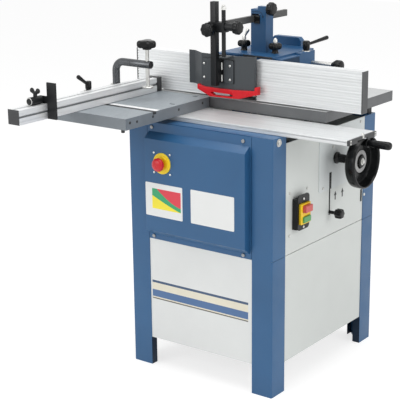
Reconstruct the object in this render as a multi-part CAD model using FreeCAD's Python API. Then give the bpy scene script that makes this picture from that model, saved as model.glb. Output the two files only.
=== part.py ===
import FreeCAD, Part
import math
import os

os.makedirs("parts", exist_ok=True)
V = FreeCAD.Vector

# Driving sizes, in mm: X to the right, Y to the back, Z up, origin on the floor
# at the centre of the four foot bolts
CAB_W = 538.0
CAB_D = 609.0
FRONT_TOP = 810.0
SPLIT_Z = FRONT_TOP - 372.0
PANEL_TOP = FRONT_TOP - 25.0
POST_FRONT = 73.0
POST_SIDE = 71.0
POST_T = 2.0
PANEL_T = 2.0
PANEL_LAP = 15.0
PANEL_LOW = 95.0
SEAM = 1.0
FOOT_T = 6.0
FOOT_IN_X = 22.0
FOOT_IN_Y = 22.0
FOOT_HOLE_R = 6.5
TABLE_TOP = FRONT_TOP + 50.0
TABLE_T = 33.0
TABLE_HALF_W = 318.0
TABLE_FRONT = -92.0
TABLE_BACK = 324.0
BEAM_HALF_L = 485.0
BEAM_CAP = 8.0
BEAM_FRONT = -256.0
BEAM_BACK = -98.0
BEAM_TOP = FRONT_TOP + 16.0
CROSS_X0 = -381.0
CROSS_X1 = -111.0
CROSS_FRONT = -504.5
CROSS_BACK = -95.0
FENCE_FRONT = -81.0
FENCE_T = 31.0
FENCE_LIFT = 4.0
FENCE_H = 126.0
HOOD_H = 138.0
SPINDLE_R = 15.0
LIFT_TRAVEL = 100.0
WHEEL_R = 83.0
WHEEL_Y = 57.0
WHEEL_Z = FRONT_TOP - 126.0
COLUMN_R = 12.0
COLUMN_X = 100.0
COLUMN_Y = -70.0

# Clearances: turning fits on the radius, gaps beside sliding faces, air round pieces that pass
RUN_FIT = 0.05
SLIDE_GAP = 0.3
PASS_GAP = 0.5

HX = CAB_W / 2
HY = CAB_D / 2
TABLE_LOW = TABLE_TOP - TABLE_T
FENCE_LOW = TABLE_TOP + FENCE_LIFT
FENCE_TOP = FENCE_LOW + FENCE_H
HOOD_TOP = TABLE_TOP + HOOD_H
SIDE_FACE = HX - POST_T
FRONT_FACE = -HY + POST_T


def box(x0, x1, y0, y1, z0, z1):
    """A block between two corners, given in any order."""
    xs = sorted((x0, x1))
    ys = sorted((y0, y1))
    zs = sorted((z0, z1))
    size = (xs[1] - xs[0], ys[1] - ys[0], zs[1] - zs[0])
    return Part.makeBox(size[0], size[1], size[2], V(xs[0], ys[0], zs[0]))


def at(axis, a, p, q):
    """The point at a along the axis, with p and q on the other two axes in order."""
    return {"x": V(a, p, q), "y": V(p, a, q), "z": V(p, q, a)}[axis]


DIRECTION = {"x": V(1, 0, 0), "y": V(0, 1, 0), "z": V(0, 0, 1)}


def rod(axis, r, a0, a1, p, q):
    """A round bar along an axis, centred on p, q."""
    low = min(a0, a1)
    return Part.makeCylinder(r, abs(a1 - a0), at(axis, low, p, q), DIRECTION[axis])


def prism(axis, points, a0, a1):
    """A polygon in the plane across the axis, drawn out along it."""
    loop = [at(axis, a0, p, q) for p, q in points]
    face = Part.Face(Part.makePolygon(loop + [loop[0]]))
    return face.extrude(DIRECTION[axis] * (a1 - a0))


def turned(axis, profile, p, q):
    """A turned piece: a profile of (place along axis, radius) spun round the axis."""
    side = {"x": V(0, 1, 0), "y": V(1, 0, 0), "z": V(1, 0, 0)}[axis]
    ends = [(profile[0][0], 0.0)] + list(profile) + [(profile[-1][0], 0.0)]
    loop = [at(axis, a, p, q) + side * r for a, r in ends]
    face = Part.Face(Part.makePolygon(loop + [loop[0]]))
    return face.revolve(at(axis, 0.0, p, q), DIRECTION[axis], 360)


def lobed(axis, r, a0, a1, p, q, lobes=6, dip=0.22):
    """A hand knob: a short round bar with shallow finger hollows round its rim."""
    knob = rod(axis, r, a0, a1, p, q)
    for k in range(lobes):
        turn = 2 * math.pi * (k + 0.5) / lobes
        reach = r * 1.18
        knob = knob.cut(rod(axis, r * dip * 1.6, a0, a1,
                            p + reach * math.cos(turn), q + reach * math.sin(turn)))
    return knob


def fused(*shapes):
    """Several shapes as one solid, without the seams between them."""
    return shapes[0].multiFuse(list(shapes[1:])).removeSplitter()


def save(name, *solids):
    """Write one node, a single solid or a group of separate solids."""
    shape = solids[0] if len(solids) == 1 else Part.makeCompound(list(solids))
    shape.exportStep("parts/" + name + ".step")


# Stand legs: four bent angles with return lips behind the panels, a welded three-cornered foot plate
# and one floor-bolt hole each
def angle_post(sx, sy, z0, z1):
    """One bent corner angle, wide face to the front or back, other face to the side."""
    inner_x = sx * (HX - POST_FRONT)
    inner_y = sy * (HY - POST_SIDE)
    outside = box(sx * HX, inner_x, sy * HY, inner_y, z0, z1)
    return outside.cut(box(sx * SIDE_FACE, inner_x, sy * (HY - POST_T), inner_y, z0, z1))


CORNERS = [(-1, -1), (1, -1), (-1, 1), (1, 1)]
LEG_LIP = 26.0


def return_lips(sx, sy):
    """The folded-back edges of one leg: full depth below the panels, and behind the panels above."""
    x0 = HX - POST_FRONT
    y0 = HY - POST_SIDE
    lips = []
    for z0, z1, set_back in ((0.0, PANEL_LOW - SEAM, 0.0), (PANEL_LOW - SEAM, SPLIT_Z, POST_T + PANEL_T)):
        lips.append(box(sx * x0, sx * (x0 + POST_T), sy * (HY - set_back), sy * (HY - LEG_LIP), z0, z1))
        lips.append(box(sx * (HX - set_back), sx * (HX - LEG_LIP), sy * y0, sy * (y0 + POST_T), z0, z1))
    return lips


legs = []
for sx, sy in CORNERS:
    plate = prism("z", [(sx * HX, sy * HY), (sx * (HX - POST_FRONT), sy * HY),
                        (sx * HX, sy * (HY - POST_SIDE))], 0, FOOT_T)
    hole = rod("z", FOOT_HOLE_R, 0, FOOT_T, sx * (HX - FOOT_IN_X), sy * (HY - FOOT_IN_Y))
    legs.append(fused(angle_post(sx, sy, 0, SPLIT_Z), plate, *return_lips(sx, sy)).cut(hole))
save("stand_legs", *legs)

# Cabinet posts: the front pair is taller and carries a set-back lip for the cover bolts,
# the rear pair is closed by a small plate under the table supports
PANEL_HALF_X = HX - POST_FRONT + PANEL_LAP
PANEL_HALF_Y = HY - POST_SIDE + PANEL_LAP
COVER_HALF_W = HX - POST_FRONT
COVER_LOW = SPLIT_Z - 5.0
COVER_TOP = FRONT_TOP - 2.0
LIP_IN = 40.0
LIP_LAP = 3.0
RAIL_T = 4.0
CAP_T = 5.0
BOLT_R = 3.0
BOLT_HOLE_R = BOLT_R + RUN_FIT
BOLT_IN_LEFT = 20.0
BOLT_IN_RIGHT = 30.0
BOLT_IN_TOP = 15.0
BOLT_IN_LOW = 10.0
COVER_BOLTS = [(bx, bz) for bz in (COVER_TOP - BOLT_IN_TOP, COVER_LOW + BOLT_IN_LOW)
               for bx in (BOLT_IN_LEFT - COVER_HALF_W, COVER_HALF_W - BOLT_IN_RIGHT)]
posts = []
for sx, sy in CORNERS:
    if sy < 0:
        post = angle_post(sx, sy, SPLIT_Z, FRONT_TOP)
        lip = box(sx * (COVER_HALF_W - LIP_IN), sx * (COVER_HALF_W + LIP_LAP),
                  FRONT_FACE, FRONT_FACE + POST_T, SPLIT_Z, FRONT_TOP - RAIL_T - SEAM)
        post = fused(post, lip)
        for bx, bz in COVER_BOLTS:
            post = post.cut(rod("y", BOLT_HOLE_R, -HY, FRONT_FACE + POST_T, bx, bz))
    else:
        post = angle_post(sx, sy, SPLIT_Z, PANEL_TOP)
        cap = box(sx * SIDE_FACE, sx * (PANEL_HALF_X + SEAM), sy * (HY - POST_T),
                  sy * (PANEL_HALF_Y + SEAM), PANEL_TOP - CAP_T, PANEL_TOP)
        post = fused(post, cap)
    posts.append(post)
save("cabinet_posts", *posts)

# Panels: flat sheet behind the post flanges


def side_panel(sx, z0, z1):
    """A flat side sheet behind the flanges of two posts."""
    return box(sx * SIDE_FACE, sx * (SIDE_FACE - PANEL_T), -PANEL_HALF_Y, PANEL_HALF_Y, z0, z1)


save("lower_front_panel", box(-PANEL_HALF_X, PANEL_HALF_X, FRONT_FACE, FRONT_FACE + PANEL_T,
                              PANEL_LOW, COVER_LOW - SEAM))
save("lower_side_panels", side_panel(-1, PANEL_LOW, SPLIT_Z - SEAM),
     side_panel(1, PANEL_LOW, SPLIT_Z - SEAM))
save("upper_left_panel", side_panel(-1, SPLIT_Z + SEAM, PANEL_TOP))
save("rear_panel", box(-PANEL_HALF_X, PANEL_HALF_X, HY - POST_T - PANEL_T, HY - POST_T,
                       PANEL_LOW, PANEL_TOP))

# Upper right panel: the slot for the height lock and a hole for the handwheel bush
LOCK_Y = 23.0
LOCK_Z = FRONT_TOP - 295.0
LOCK_R = 3.5
SLOT_END_AIR = 10.0
SLOT_TOP_AIR = 26.0
BUSH_R = 18.0
SLOT_W = 2 * (LOCK_R + PASS_GAP)
slot_cut = box(SIDE_FACE - 20, SIDE_FACE + 20, LOCK_Y - SLOT_W / 2, LOCK_Y + SLOT_W / 2,
               LOCK_Z - SLOT_END_AIR, LOCK_Z + LIFT_TRAVEL + SLOT_TOP_AIR)
right_panel = side_panel(1, SPLIT_Z + SEAM, PANEL_TOP).cut(slot_cut)
right_panel = right_panel.cut(rod("x", BUSH_R + PASS_GAP, 0, HX, WHEEL_Y, WHEEL_Z))
save("upper_right_panel", right_panel)

# Access plate: screwed on the right panel, with the turned bush of the handwheel shaft
SHAFT_R = 10.0
PLATE_T = 2.0
BUSH_OUT = SIDE_FACE + 33.0
BUSH_IN = SIDE_FACE - 17.0
CONE_BUSH_R = 27.0
ACCESS_Y0 = -45.0
ACCESS_H = 195.0
access = box(SIDE_FACE, SIDE_FACE + PLATE_T, ACCESS_Y0, HY - POST_SIDE - SEAM, PANEL_TOP - ACCESS_H, PANEL_TOP)
access = access.cut(slot_cut)
bush = turned("x", [(BUSH_IN, BUSH_R), (SIDE_FACE, BUSH_R), (SIDE_FACE, CONE_BUSH_R),
                    (SIDE_FACE + 8.0, CONE_BUSH_R), (SIDE_FACE + 14.0, BUSH_R), (BUSH_OUT, BUSH_R)],
              WHEEL_Y, WHEEL_Z)
bush = bush.cut(rod("x", SHAFT_R + RUN_FIT, BUSH_IN, BUSH_OUT, WHEEL_Y, WHEEL_Z))
access = access.cut(rod("x", SHAFT_R + RUN_FIT, 0, BUSH_OUT, WHEEL_Y, WHEEL_Z))
save("access_plate", fused(access, bush))

# Front top rail: a plate between the front posts with the welded guide bar of the carriage
RAIL_BACK = -60.0
RAIL_FOLD = 40.0
GUIDE_W = 60.0
GUIDE_H = 8.0
GUIDE_HALF_L = SIDE_FACE - 7.0
GUIDE_Y = (BEAM_FRONT + BEAM_BACK) / 2
GUIDE_TOP = FRONT_TOP + GUIDE_H
rail = box(-SIDE_FACE, SIDE_FACE, FRONT_FACE + POST_T, RAIL_BACK, FRONT_TOP - RAIL_T, FRONT_TOP)
FOLD_HALF = SIDE_FACE - PANEL_T - SEAM
fold = box(-FOLD_HALF, FOLD_HALF, RAIL_BACK - POST_T, RAIL_BACK, FRONT_TOP - RAIL_FOLD, FRONT_TOP)
guide = box(-GUIDE_HALF_L, GUIDE_HALF_L, GUIDE_Y - GUIDE_W / 2, GUIDE_Y + GUIDE_W / 2,
            FRONT_TOP, GUIDE_TOP)
front_rail = fused(rail, fold, guide)
for s in (-1, 1):
    front_rail = front_rail.cut(rod("z", COLUMN_R + SEAM, FRONT_TOP - RAIL_FOLD, FRONT_TOP,
                                    s * COLUMN_X, COLUMN_Y))
save("front_top_rail", front_rail)

# Front cover: a pressed tray, its flange between the posts and its face standing forward
COVER_OUT = 25.0
COVER_T = 2.0
COVER_SIDE_IN = 8.0
STOP_IN = 69.0
STOP_DOWN = 118.0
STOP_BARREL_R = 11.0
cover_face = -HY - COVER_OUT
tray_x = COVER_HALF_W - COVER_SIDE_IN
TRAY_LOW = COVER_LOW + 16.0
TRAY_TOP = COVER_TOP - 28.0
TRAY_BEVEL = 19.0
STOP_X = STOP_IN - tray_x
STOP_Z = COVER_TOP - STOP_DOWN


def tray(inset):
    """The raised form of the cover, shrunk by a sheet thickness for its hollow."""
    low = TRAY_LOW + inset
    top = TRAY_TOP - inset
    face = cover_face + inset
    points = [(FRONT_FACE, low), (-HY, low), (face, low + TRAY_BEVEL), (face, top - TRAY_BEVEL + SEAM),
              (-HY, top), (FRONT_FACE, top)]
    return prism("x", points, -tray_x + inset, tray_x - inset)


flange = box(-COVER_HALF_W + SEAM, COVER_HALF_W - SEAM, -HY, FRONT_FACE, COVER_LOW, COVER_TOP)
cover = fused(flange, tray(0.0)).cut(tray(COVER_T))
cover = cover.cut(rod("y", STOP_BARREL_R + PASS_GAP, cover_face, FRONT_FACE, STOP_X, STOP_Z))
for bx, bz in COVER_BOLTS:
    cover = cover.cut(rod("y", BOLT_HOLE_R, -HY, FRONT_FACE, bx, bz))
save("front_cover", cover)

# Cover bolts: four round-headed bolts
HEAD_R = 6.0
HEAD_H = 4.0
bolts = []
for bx, bz in COVER_BOLTS:
    bolts.append(turned("y", [(-HY - HEAD_H, HEAD_R - 1.0), (-HY - HEAD_H + 1.0, HEAD_R), (-HY, HEAD_R),
                              (-HY, BOLT_R), (FRONT_FACE + 8.0, BOLT_R)], bx, bz))
save("cover_bolts", *bolts)

# Emergency stop: a yellow disc with its barrel, and the red mushroom button that presses in
DISC_R = 33.0
DISC_T = 4.0
MUSHROOM_R = 21.0
MUSHROOM_OUT = 32.0
STOP_PRESS = 6.0
STEM_R = 6.0
disc_face = cover_face - DISC_T
stem_end = disc_face + 22.0
base = turned("y", [(disc_face, DISC_R - 1.5), (disc_face + 1.5, DISC_R), (cover_face, DISC_R),
                    (cover_face, STOP_BARREL_R), (cover_face + 40.0, STOP_BARREL_R)], STOP_X, STOP_Z)
base = base.cut(rod("y", STEM_R + RUN_FIT, disc_face, stem_end + STOP_PRESS + 2.0, STOP_X, STOP_Z))
save("estop_base", base)
head_face = cover_face - MUSHROOM_OUT
head_back = disc_face - STOP_PRESS - 2.0
save("estop_button", turned("y", [(head_face, 9.0), (head_face + 2.0, 15.0),
                                  (head_face + 6.0, MUSHROOM_R - 1.0),
                                  (head_face + 10.0, MUSHROOM_R), (head_back - 4.0, MUSHROOM_R),
                                  (head_back, 13.0), (head_back, STEM_R), (stem_end, STEM_R)], STOP_X, STOP_Z))

# Switch on the right side: a base with a plate that carries its screws, a yellow cover and the on
# and off buttons in their pockets
SWITCH_OUT = 20.0
SWITCH_Y0 = -194.0
SWITCH_Y1 = -129.0
EAR_T = 4.0
EAR_R = 12.0
SWITCH_COVER_T = 8.0
BUTTON_PRESS = 4.0
BUTTON_PROUD = {"off_button": 11.0, "on_button": 5.0}
switch_face = SIDE_FACE + SWITCH_OUT
cover_out = switch_face + SWITCH_COVER_T
SWITCH_LOW = FRONT_TOP - 310.0
BUTTONS = {"off_button": (-177.0, -138.0, SWITCH_LOW + 65.0, SWITCH_LOW + 86.0),
           "on_button": (-177.0, -138.0, SWITCH_LOW + 33.0, SWITCH_LOW + 51.0)}
ear_back = switch_face - EAR_T
ear_low = SWITCH_LOW + 9.0
ear_top = SWITCH_LOW + 118.0
ear_corners = [(y, z) for y in (SWITCH_Y0 + EAR_R, SWITCH_Y1 - EAR_R) for z in (ear_low + EAR_R, ear_top - EAR_R)]
switch_base = fused(box(SIDE_FACE, switch_face, SWITCH_Y0, SWITCH_Y1, SWITCH_LOW + 21.0, SWITCH_LOW + 106.0),
                    box(SIDE_FACE, ear_back, SWITCH_Y0, SWITCH_Y1, SWITCH_LOW + 12.0, SWITCH_LOW + 106.0),
                    box(ear_back, switch_face, SWITCH_Y0 + EAR_R, SWITCH_Y1 - EAR_R, ear_low, ear_top),
                    *[rod("x", EAR_R, ear_back, switch_face, y, z) for y, z in ear_corners])
switch_cover = box(switch_face, cover_out, -187.5, -134.0, SWITCH_LOW + 28.0, SWITCH_LOW + 92.0)
button_back = switch_face - 3.0
for name, (y0, y1, z0, z1) in BUTTONS.items():
    pocket = box(button_back - BUTTON_PRESS - 1.0, cover_out, y0 - PASS_GAP, y1 + PASS_GAP,
                 z0 - PASS_GAP, z1 + PASS_GAP)
    switch_base = switch_base.cut(pocket)
    switch_cover = switch_cover.cut(pocket)
    save(name, box(button_back, cover_out + BUTTON_PROUD[name], y0, y1, z0, z1))
save("switch_base", switch_base)
save("switch_cover", switch_cover)

# Main table: an iron casting with a skirt, pads under it and a stepped opening for the rings
SKIRT = 14.0
TABLE_SKIN = 15.0
RING_SEAT_R = 70.0
RING_DEPTH = 8.0
SEAT_STEP = 12.0
RING_FIT = 0.2
PAD_R = 26.0
SUPPORT_FRONT = (HX - 29.0, TABLE_FRONT + 16.0)
SUPPORT_REAR = (HX - 19.0, HY - 24.5)
SUPPORT_XY = [(s * px, py) for px, py in (SUPPORT_FRONT, SUPPORT_REAR) for s in (-1, 1)]
ring_floor = TABLE_TOP - RING_DEPTH
table = box(-TABLE_HALF_W, TABLE_HALF_W, TABLE_FRONT, TABLE_BACK, TABLE_LOW, TABLE_TOP)
hollow = box(-TABLE_HALF_W + SKIRT, TABLE_HALF_W - SKIRT, TABLE_FRONT + SKIRT, TABLE_BACK - SKIRT,
             TABLE_LOW, TABLE_TOP - TABLE_SKIN)
hollow = hollow.cut(rod("z", RING_SEAT_R + 20.0, TABLE_LOW, TABLE_TOP, 0, 0))
for px, py in SUPPORT_XY + [(-COLUMN_X, COLUMN_Y), (COLUMN_X, COLUMN_Y)]:
    hollow = hollow.cut(rod("z", PAD_R, TABLE_LOW, TABLE_TOP, px, py))
table = table.cut(hollow)
table = table.cut(rod("z", RING_SEAT_R, ring_floor, TABLE_TOP, 0, 0))
table = table.cut(rod("z", RING_SEAT_R - SEAT_STEP, TABLE_LOW, TABLE_TOP, 0, 0))
save("main_table", table)

# Table rings: a large ring in the seat of the table and a small ring in the seat of the large one
SMALL_SEAT_R = 48.0
SMALL_DEPTH = 4.0
SMALL_BORE_R = 30.0
large = rod("z", RING_SEAT_R - RING_FIT, ring_floor, TABLE_TOP, 0, 0)
large = large.cut(rod("z", SMALL_SEAT_R, TABLE_TOP - SMALL_DEPTH, TABLE_TOP, 0, 0))
large = large.cut(rod("z", SMALL_SEAT_R - 6.0, ring_floor, TABLE_TOP, 0, 0))
small = rod("z", SMALL_SEAT_R - RING_FIT, TABLE_TOP - SMALL_DEPTH, TABLE_TOP, 0, 0)
small = small.cut(rod("z", SMALL_BORE_R, TABLE_TOP - SMALL_DEPTH, TABLE_TOP, 0, 0))
save("table_rings", large, small)

# Table supports: short blocks between the cabinet and the pads of the table
SUPPORT_HALF = 11.0
supports = []
for px, py in SUPPORT_XY:
    foot = FRONT_TOP if py < 0 else PANEL_TOP
    block = box(px - SUPPORT_HALF, px + SUPPORT_HALF, py - SUPPORT_HALF, py + SUPPORT_HALF,
                foot, TABLE_LOW - 7.0)
    supports.append(fused(block, rod("z", 7.0, foot, TABLE_LOW, px, py)))
save("table_supports", *supports)

# Lift columns: two bars hung from the table, tied by a plate that carries the lift screw
SCREW_X = 75.0
SCREW_Y = 57.0
SCREW_R = 8.0
COLUMN_LOW = FRONT_TOP - 340.0
TIE_T = 10.0
TIE_HALF_W = 15.0
tie = box(-COLUMN_X - TIE_HALF_W, COLUMN_X + TIE_HALF_W, COLUMN_Y - TIE_HALF_W, COLUMN_Y + TIE_HALF_W,
          COLUMN_LOW, COLUMN_LOW + TIE_T)
arm = box(SCREW_X - TIE_HALF_W, COLUMN_X + TIE_HALF_W, COLUMN_Y, SCREW_Y + TIE_HALF_W,
          COLUMN_LOW, COLUMN_LOW + TIE_T)
columns = [rod("z", COLUMN_R, COLUMN_LOW, TABLE_LOW, s * COLUMN_X, COLUMN_Y) for s in (-1, 1)]
save("lift_columns", fused(tie, arm, *columns))

# Quill housing: the barrel of the spindle, with lugs on the columns, the nut of the lift screw,
# the boss of the height lock and the plate that the motor hangs from
QUILL_R = 45.0
QUILL_LOW = COLUMN_LOW - 10.0
QUILL_TOP = COLUMN_LOW + 270.0
QUILL_BORE_R = 20.0
BEARING_R = 35.0
BEARING_H = 20.0
LUG_LOW = COLUMN_LOW + 30.0
LUG_TOP = COLUMN_LOW + 110.0
NUT_LOW = COLUMN_LOW + 65.0
NUT_TOP = COLUMN_LOW + 88.0
MOTOR_Y = 170.0
MOTOR_R = 75.0
MOTOR_TOP = COLUMN_LOW + 180.0
MOTOR_PLATE_T = 12.0
BOSS_OUT = 72.0
STUD_IN = 46.0
quill = fused(rod("z", QUILL_R, QUILL_LOW, QUILL_TOP, 0, 0),
              box(-COLUMN_X - 20.0, COLUMN_X + 20.0, COLUMN_Y - 18.0, -30.0, LUG_LOW, LUG_TOP),
              box(10.0, SCREW_X, 30.0, SCREW_Y + 13.0, NUT_LOW, NUT_TOP),
              rod("z", 2 * SCREW_R, NUT_LOW, NUT_TOP, SCREW_X, SCREW_Y),
              box(-40.0, 40.0, 30.0, MOTOR_Y, MOTOR_TOP, MOTOR_TOP + MOTOR_PLATE_T),
              rod("z", MOTOR_R + 5.0, MOTOR_TOP, MOTOR_TOP + MOTOR_PLATE_T, 0, MOTOR_Y),
              box(20.0, BOSS_OUT, LOCK_Y - 12.0, LOCK_Y + 12.0, LOCK_Z - 12.0, LOCK_Z + 12.0))
quill = quill.cut(rod("z", QUILL_BORE_R, QUILL_LOW, QUILL_TOP, 0, 0))
for z0 in (QUILL_LOW, QUILL_TOP - BEARING_H):
    quill = quill.cut(rod("z", BEARING_R, z0, z0 + BEARING_H, 0, 0))
for s in (-1, 1):
    quill = quill.cut(rod("z", COLUMN_R + RUN_FIT, LUG_LOW, LUG_TOP, s * COLUMN_X, COLUMN_Y))
quill = quill.cut(rod("z", SCREW_R + RUN_FIT, NUT_LOW, NUT_TOP, SCREW_X, SCREW_Y))
quill = quill.cut(rod("x", LOCK_R + RUN_FIT, STUD_IN - 2.0, BOSS_OUT, LOCK_Y, LOCK_Z))
save("quill_housing", quill)

# Spindle bearings, and the spindle turned in one with its pulley
bearings = []
for z0 in (QUILL_LOW, QUILL_TOP - BEARING_H):
    ring = rod("z", BEARING_R - RUN_FIT, z0, z0 + BEARING_H, 0, 0)
    bearings.append(ring.cut(rod("z", SPINDLE_R + RUN_FIT, z0, z0 + BEARING_H, 0, 0)))
save("spindle_bearings", *bearings)
SPINDLE_LOW = COLUMN_LOW - 70.0
SPINDLE_TOP = TABLE_TOP + 2.0
COLLAR_R = 24.0
PULLEY_LOW = COLUMN_LOW - 62.0
PULLEY_TOP = COLUMN_LOW - 38.0
SPINDLE_PULLEY_R = 30.0
MOTOR_PULLEY_R = 45.0
collar_low = QUILL_TOP + SEAM
save("spindle", turned("z", [(SPINDLE_LOW, SPINDLE_R), (PULLEY_LOW, SPINDLE_R), (PULLEY_LOW, SPINDLE_PULLEY_R),
                             (PULLEY_TOP, SPINDLE_PULLEY_R), (PULLEY_TOP, SPINDLE_R),
                             (collar_low, SPINDLE_R), (collar_low, COLLAR_R),
                             (collar_low + 15.0, COLLAR_R), (collar_low + 15.0, SPINDLE_R),
                             (SPINDLE_TOP - 2.0, SPINDLE_R), (SPINDLE_TOP, SPINDLE_R - 2.0)], 0, 0))

# Motor with its shaft and pulley, and the flat belt between the two pulleys
MOTOR_LOW = COLUMN_LOW - 25.0
MOTOR_SHAFT_R = 9.0
SHAFT_END = COLUMN_LOW + 10.0
motor = turned("z", [(MOTOR_LOW, 50.0), (MOTOR_LOW + 14.0, MOTOR_R - 4.0), (MOTOR_LOW + 30.0, MOTOR_R - 4.0),
                     (MOTOR_LOW + 30.0, MOTOR_R), (MOTOR_TOP - 40.0, MOTOR_R),
                     (MOTOR_TOP - 40.0, MOTOR_R - 4.0), (MOTOR_TOP, MOTOR_R - 4.0)], 0, MOTOR_Y)
motor = motor.cut(rod("z", MOTOR_SHAFT_R + RUN_FIT, MOTOR_LOW, SHAFT_END + 2.0, 0, MOTOR_Y))
save("motor", motor)
save("motor_pulley", turned("z", [(PULLEY_LOW, MOTOR_PULLEY_R), (PULLEY_TOP, MOTOR_PULLEY_R),
                                  (PULLEY_TOP, MOTOR_SHAFT_R), (SHAFT_END, MOTOR_SHAFT_R)], 0, MOTOR_Y))
BELT_T = 4.0
BELT_IN = 3.0


def belt_loop(extra):
    """The filled outline of the belt: a disc on each pulley and the flat between the tangents."""
    ra = SPINDLE_PULLEY_R + extra
    rb = MOTOR_PULLEY_R + extra
    ny = (ra - rb) / MOTOR_Y
    nx = math.sqrt(1 - ny * ny)
    flat = [(ra * nx, ra * ny), (rb * nx, MOTOR_Y + rb * ny),
            (-rb * nx, MOTOR_Y + rb * ny), (-ra * nx, ra * ny)]
    z0 = PULLEY_LOW + BELT_IN
    z1 = PULLEY_TOP - BELT_IN
    return fused(prism("z", flat, z0, z1), rod("z", ra, z0, z1, 0, 0), rod("z", rb, z0, z1, 0, MOTOR_Y))


save("drive_belt", belt_loop(SLIDE_GAP + BELT_T).cut(belt_loop(SLIDE_GAP)))

# Lift screw and handwheel shaft, meeting in a pair of smooth bevel cones
CONE_GAP = 0.5
CONE_R = 16.0
CONE_SMALL = 8.0
tie_top = COLUMN_LOW + TIE_T
save("lift_screw", turned("z", [(tie_top, SCREW_R), (WHEEL_Z - CONE_R - 6.0, SCREW_R),
                                (WHEEL_Z - CONE_R - 6.0, CONE_R - CONE_GAP),
                                (WHEEL_Z - CONE_R, CONE_R - CONE_GAP),
                                (WHEEL_Z - CONE_SMALL, CONE_SMALL - CONE_GAP)], SCREW_X, SCREW_Y))
WHEEL_X0 = BUSH_OUT + 44.0
WHEEL_X1 = WHEEL_X0 + 36.0
HUB_R = 18.0
HUB_X0 = BUSH_OUT + 20.0
HUB_X1 = WHEEL_X0 + 18.0
SHAFT_OUT = HUB_X1 - 2.0
save("handwheel_shaft", turned("x", [(SCREW_X + CONE_SMALL, CONE_SMALL - CONE_GAP),
                                     (SCREW_X + CONE_R, CONE_R - CONE_GAP),
                                     (SCREW_X + CONE_R + 6.0, CONE_R - CONE_GAP),
                                     (SCREW_X + CONE_R + 6.0, SHAFT_R), (SHAFT_OUT, SHAFT_R)],
                               WHEEL_Y, WHEEL_Z))

# Handwheel: a dished wheel with a rolled rim, its crank pin and the handle that turns on the pin
RIM_T = 12.0
WEB_T = 7.0
PIN_R = 5.0
PIN_Y = WHEEL_Y + 3.0
PIN_FROM_RIM = 23.0
PIN_Z = WHEEL_Z + WHEEL_R - PIN_FROM_RIM
HANDLE_R = 13.0
HANDLE_X0 = WHEEL_X1 + 2.0
HANDLE_X1 = HANDLE_X0 + 76.0
wheel = rod("x", WHEEL_R, WHEEL_X0, WHEEL_X1, WHEEL_Y, WHEEL_Z)
wheel = wheel.cut(rod("x", WHEEL_R - RIM_T, WHEEL_X0 + WEB_T, WHEEL_X1, WHEEL_Y, WHEEL_Z))
wheel = fused(wheel, rod("x", HUB_R, HUB_X0, HUB_X1, WHEEL_Y, WHEEL_Z),
              rod("x", 2 * PIN_R, WHEEL_X0, WHEEL_X1, PIN_Y, PIN_Z),
              rod("x", PIN_R, WHEEL_X1, HANDLE_X1 - 4.0, PIN_Y, PIN_Z))
wheel = wheel.cut(rod("x", SHAFT_R + RUN_FIT, HUB_X0, SHAFT_OUT, WHEEL_Y, WHEEL_Z))
save("handwheel", wheel)
handle = turned("x", [(HANDLE_X0, 10.0), (HANDLE_X0 + 4.0, 11.5), (HANDLE_X0 + 30.0, 12.0),
                      (HANDLE_X1 - 14.0, HANDLE_R), (HANDLE_X1 - 4.0, 11.5), (HANDLE_X1, 7.0)], PIN_Y, PIN_Z)
save("handwheel_handle", handle.cut(rod("x", PIN_R + RUN_FIT, HANDLE_X0, HANDLE_X1 - 3.0, PIN_Y, PIN_Z)))

# Height lock: a lobed knob whose stud runs through the slot of the side panel to the quill
LOCK_KNOB_R = 16.0
LOCK_COLLAR_R = 8.0
collar_x = SIDE_FACE + PLATE_T + 1.0
knob_x = collar_x + 21.0
save("height_lock_knob", fused(rod("x", LOCK_R, STUD_IN, collar_x, LOCK_Y, LOCK_Z),
                               rod("x", LOCK_COLLAR_R, collar_x, knob_x, LOCK_Y, LOCK_Z),
                               lobed("x", LOCK_KNOB_R, knob_x, knob_x + 25.0, LOCK_Y, LOCK_Z)))

# Carriage beam: an aluminium plank with a channel over the guide bar and a groove in its front edge
BEAM_LIFT = 1.0
BEAM_LOW = FRONT_TOP + BEAM_LIFT
GROOVE_LOW = BEAM_LOW + 4.0
GROOVE_TOP = BEAM_LOW + 11.0
GROOVE_D = 5.0
channel_half = GUIDE_W / 2 + SLIDE_GAP


def beam_length(x0, x1):
    """A length of the beam section with its underside channel."""
    plank = box(x0, x1, BEAM_FRONT, BEAM_BACK, BEAM_LOW, BEAM_TOP)
    return plank.cut(box(x0, x1, GUIDE_Y - channel_half, GUIDE_Y + channel_half, BEAM_LOW, GUIDE_TOP))


groove = box(-BEAM_HALF_L, BEAM_HALF_L, BEAM_FRONT, BEAM_FRONT + GROOVE_D, GROOVE_LOW, GROOVE_TOP)
save("carriage_beam", beam_length(-BEAM_HALF_L, BEAM_HALF_L).cut(groove))
save("carriage_end_caps", beam_length(-BEAM_HALF_L - BEAM_CAP, -BEAM_HALF_L),
     beam_length(BEAM_HALF_L, BEAM_HALF_L + BEAM_CAP))

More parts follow.
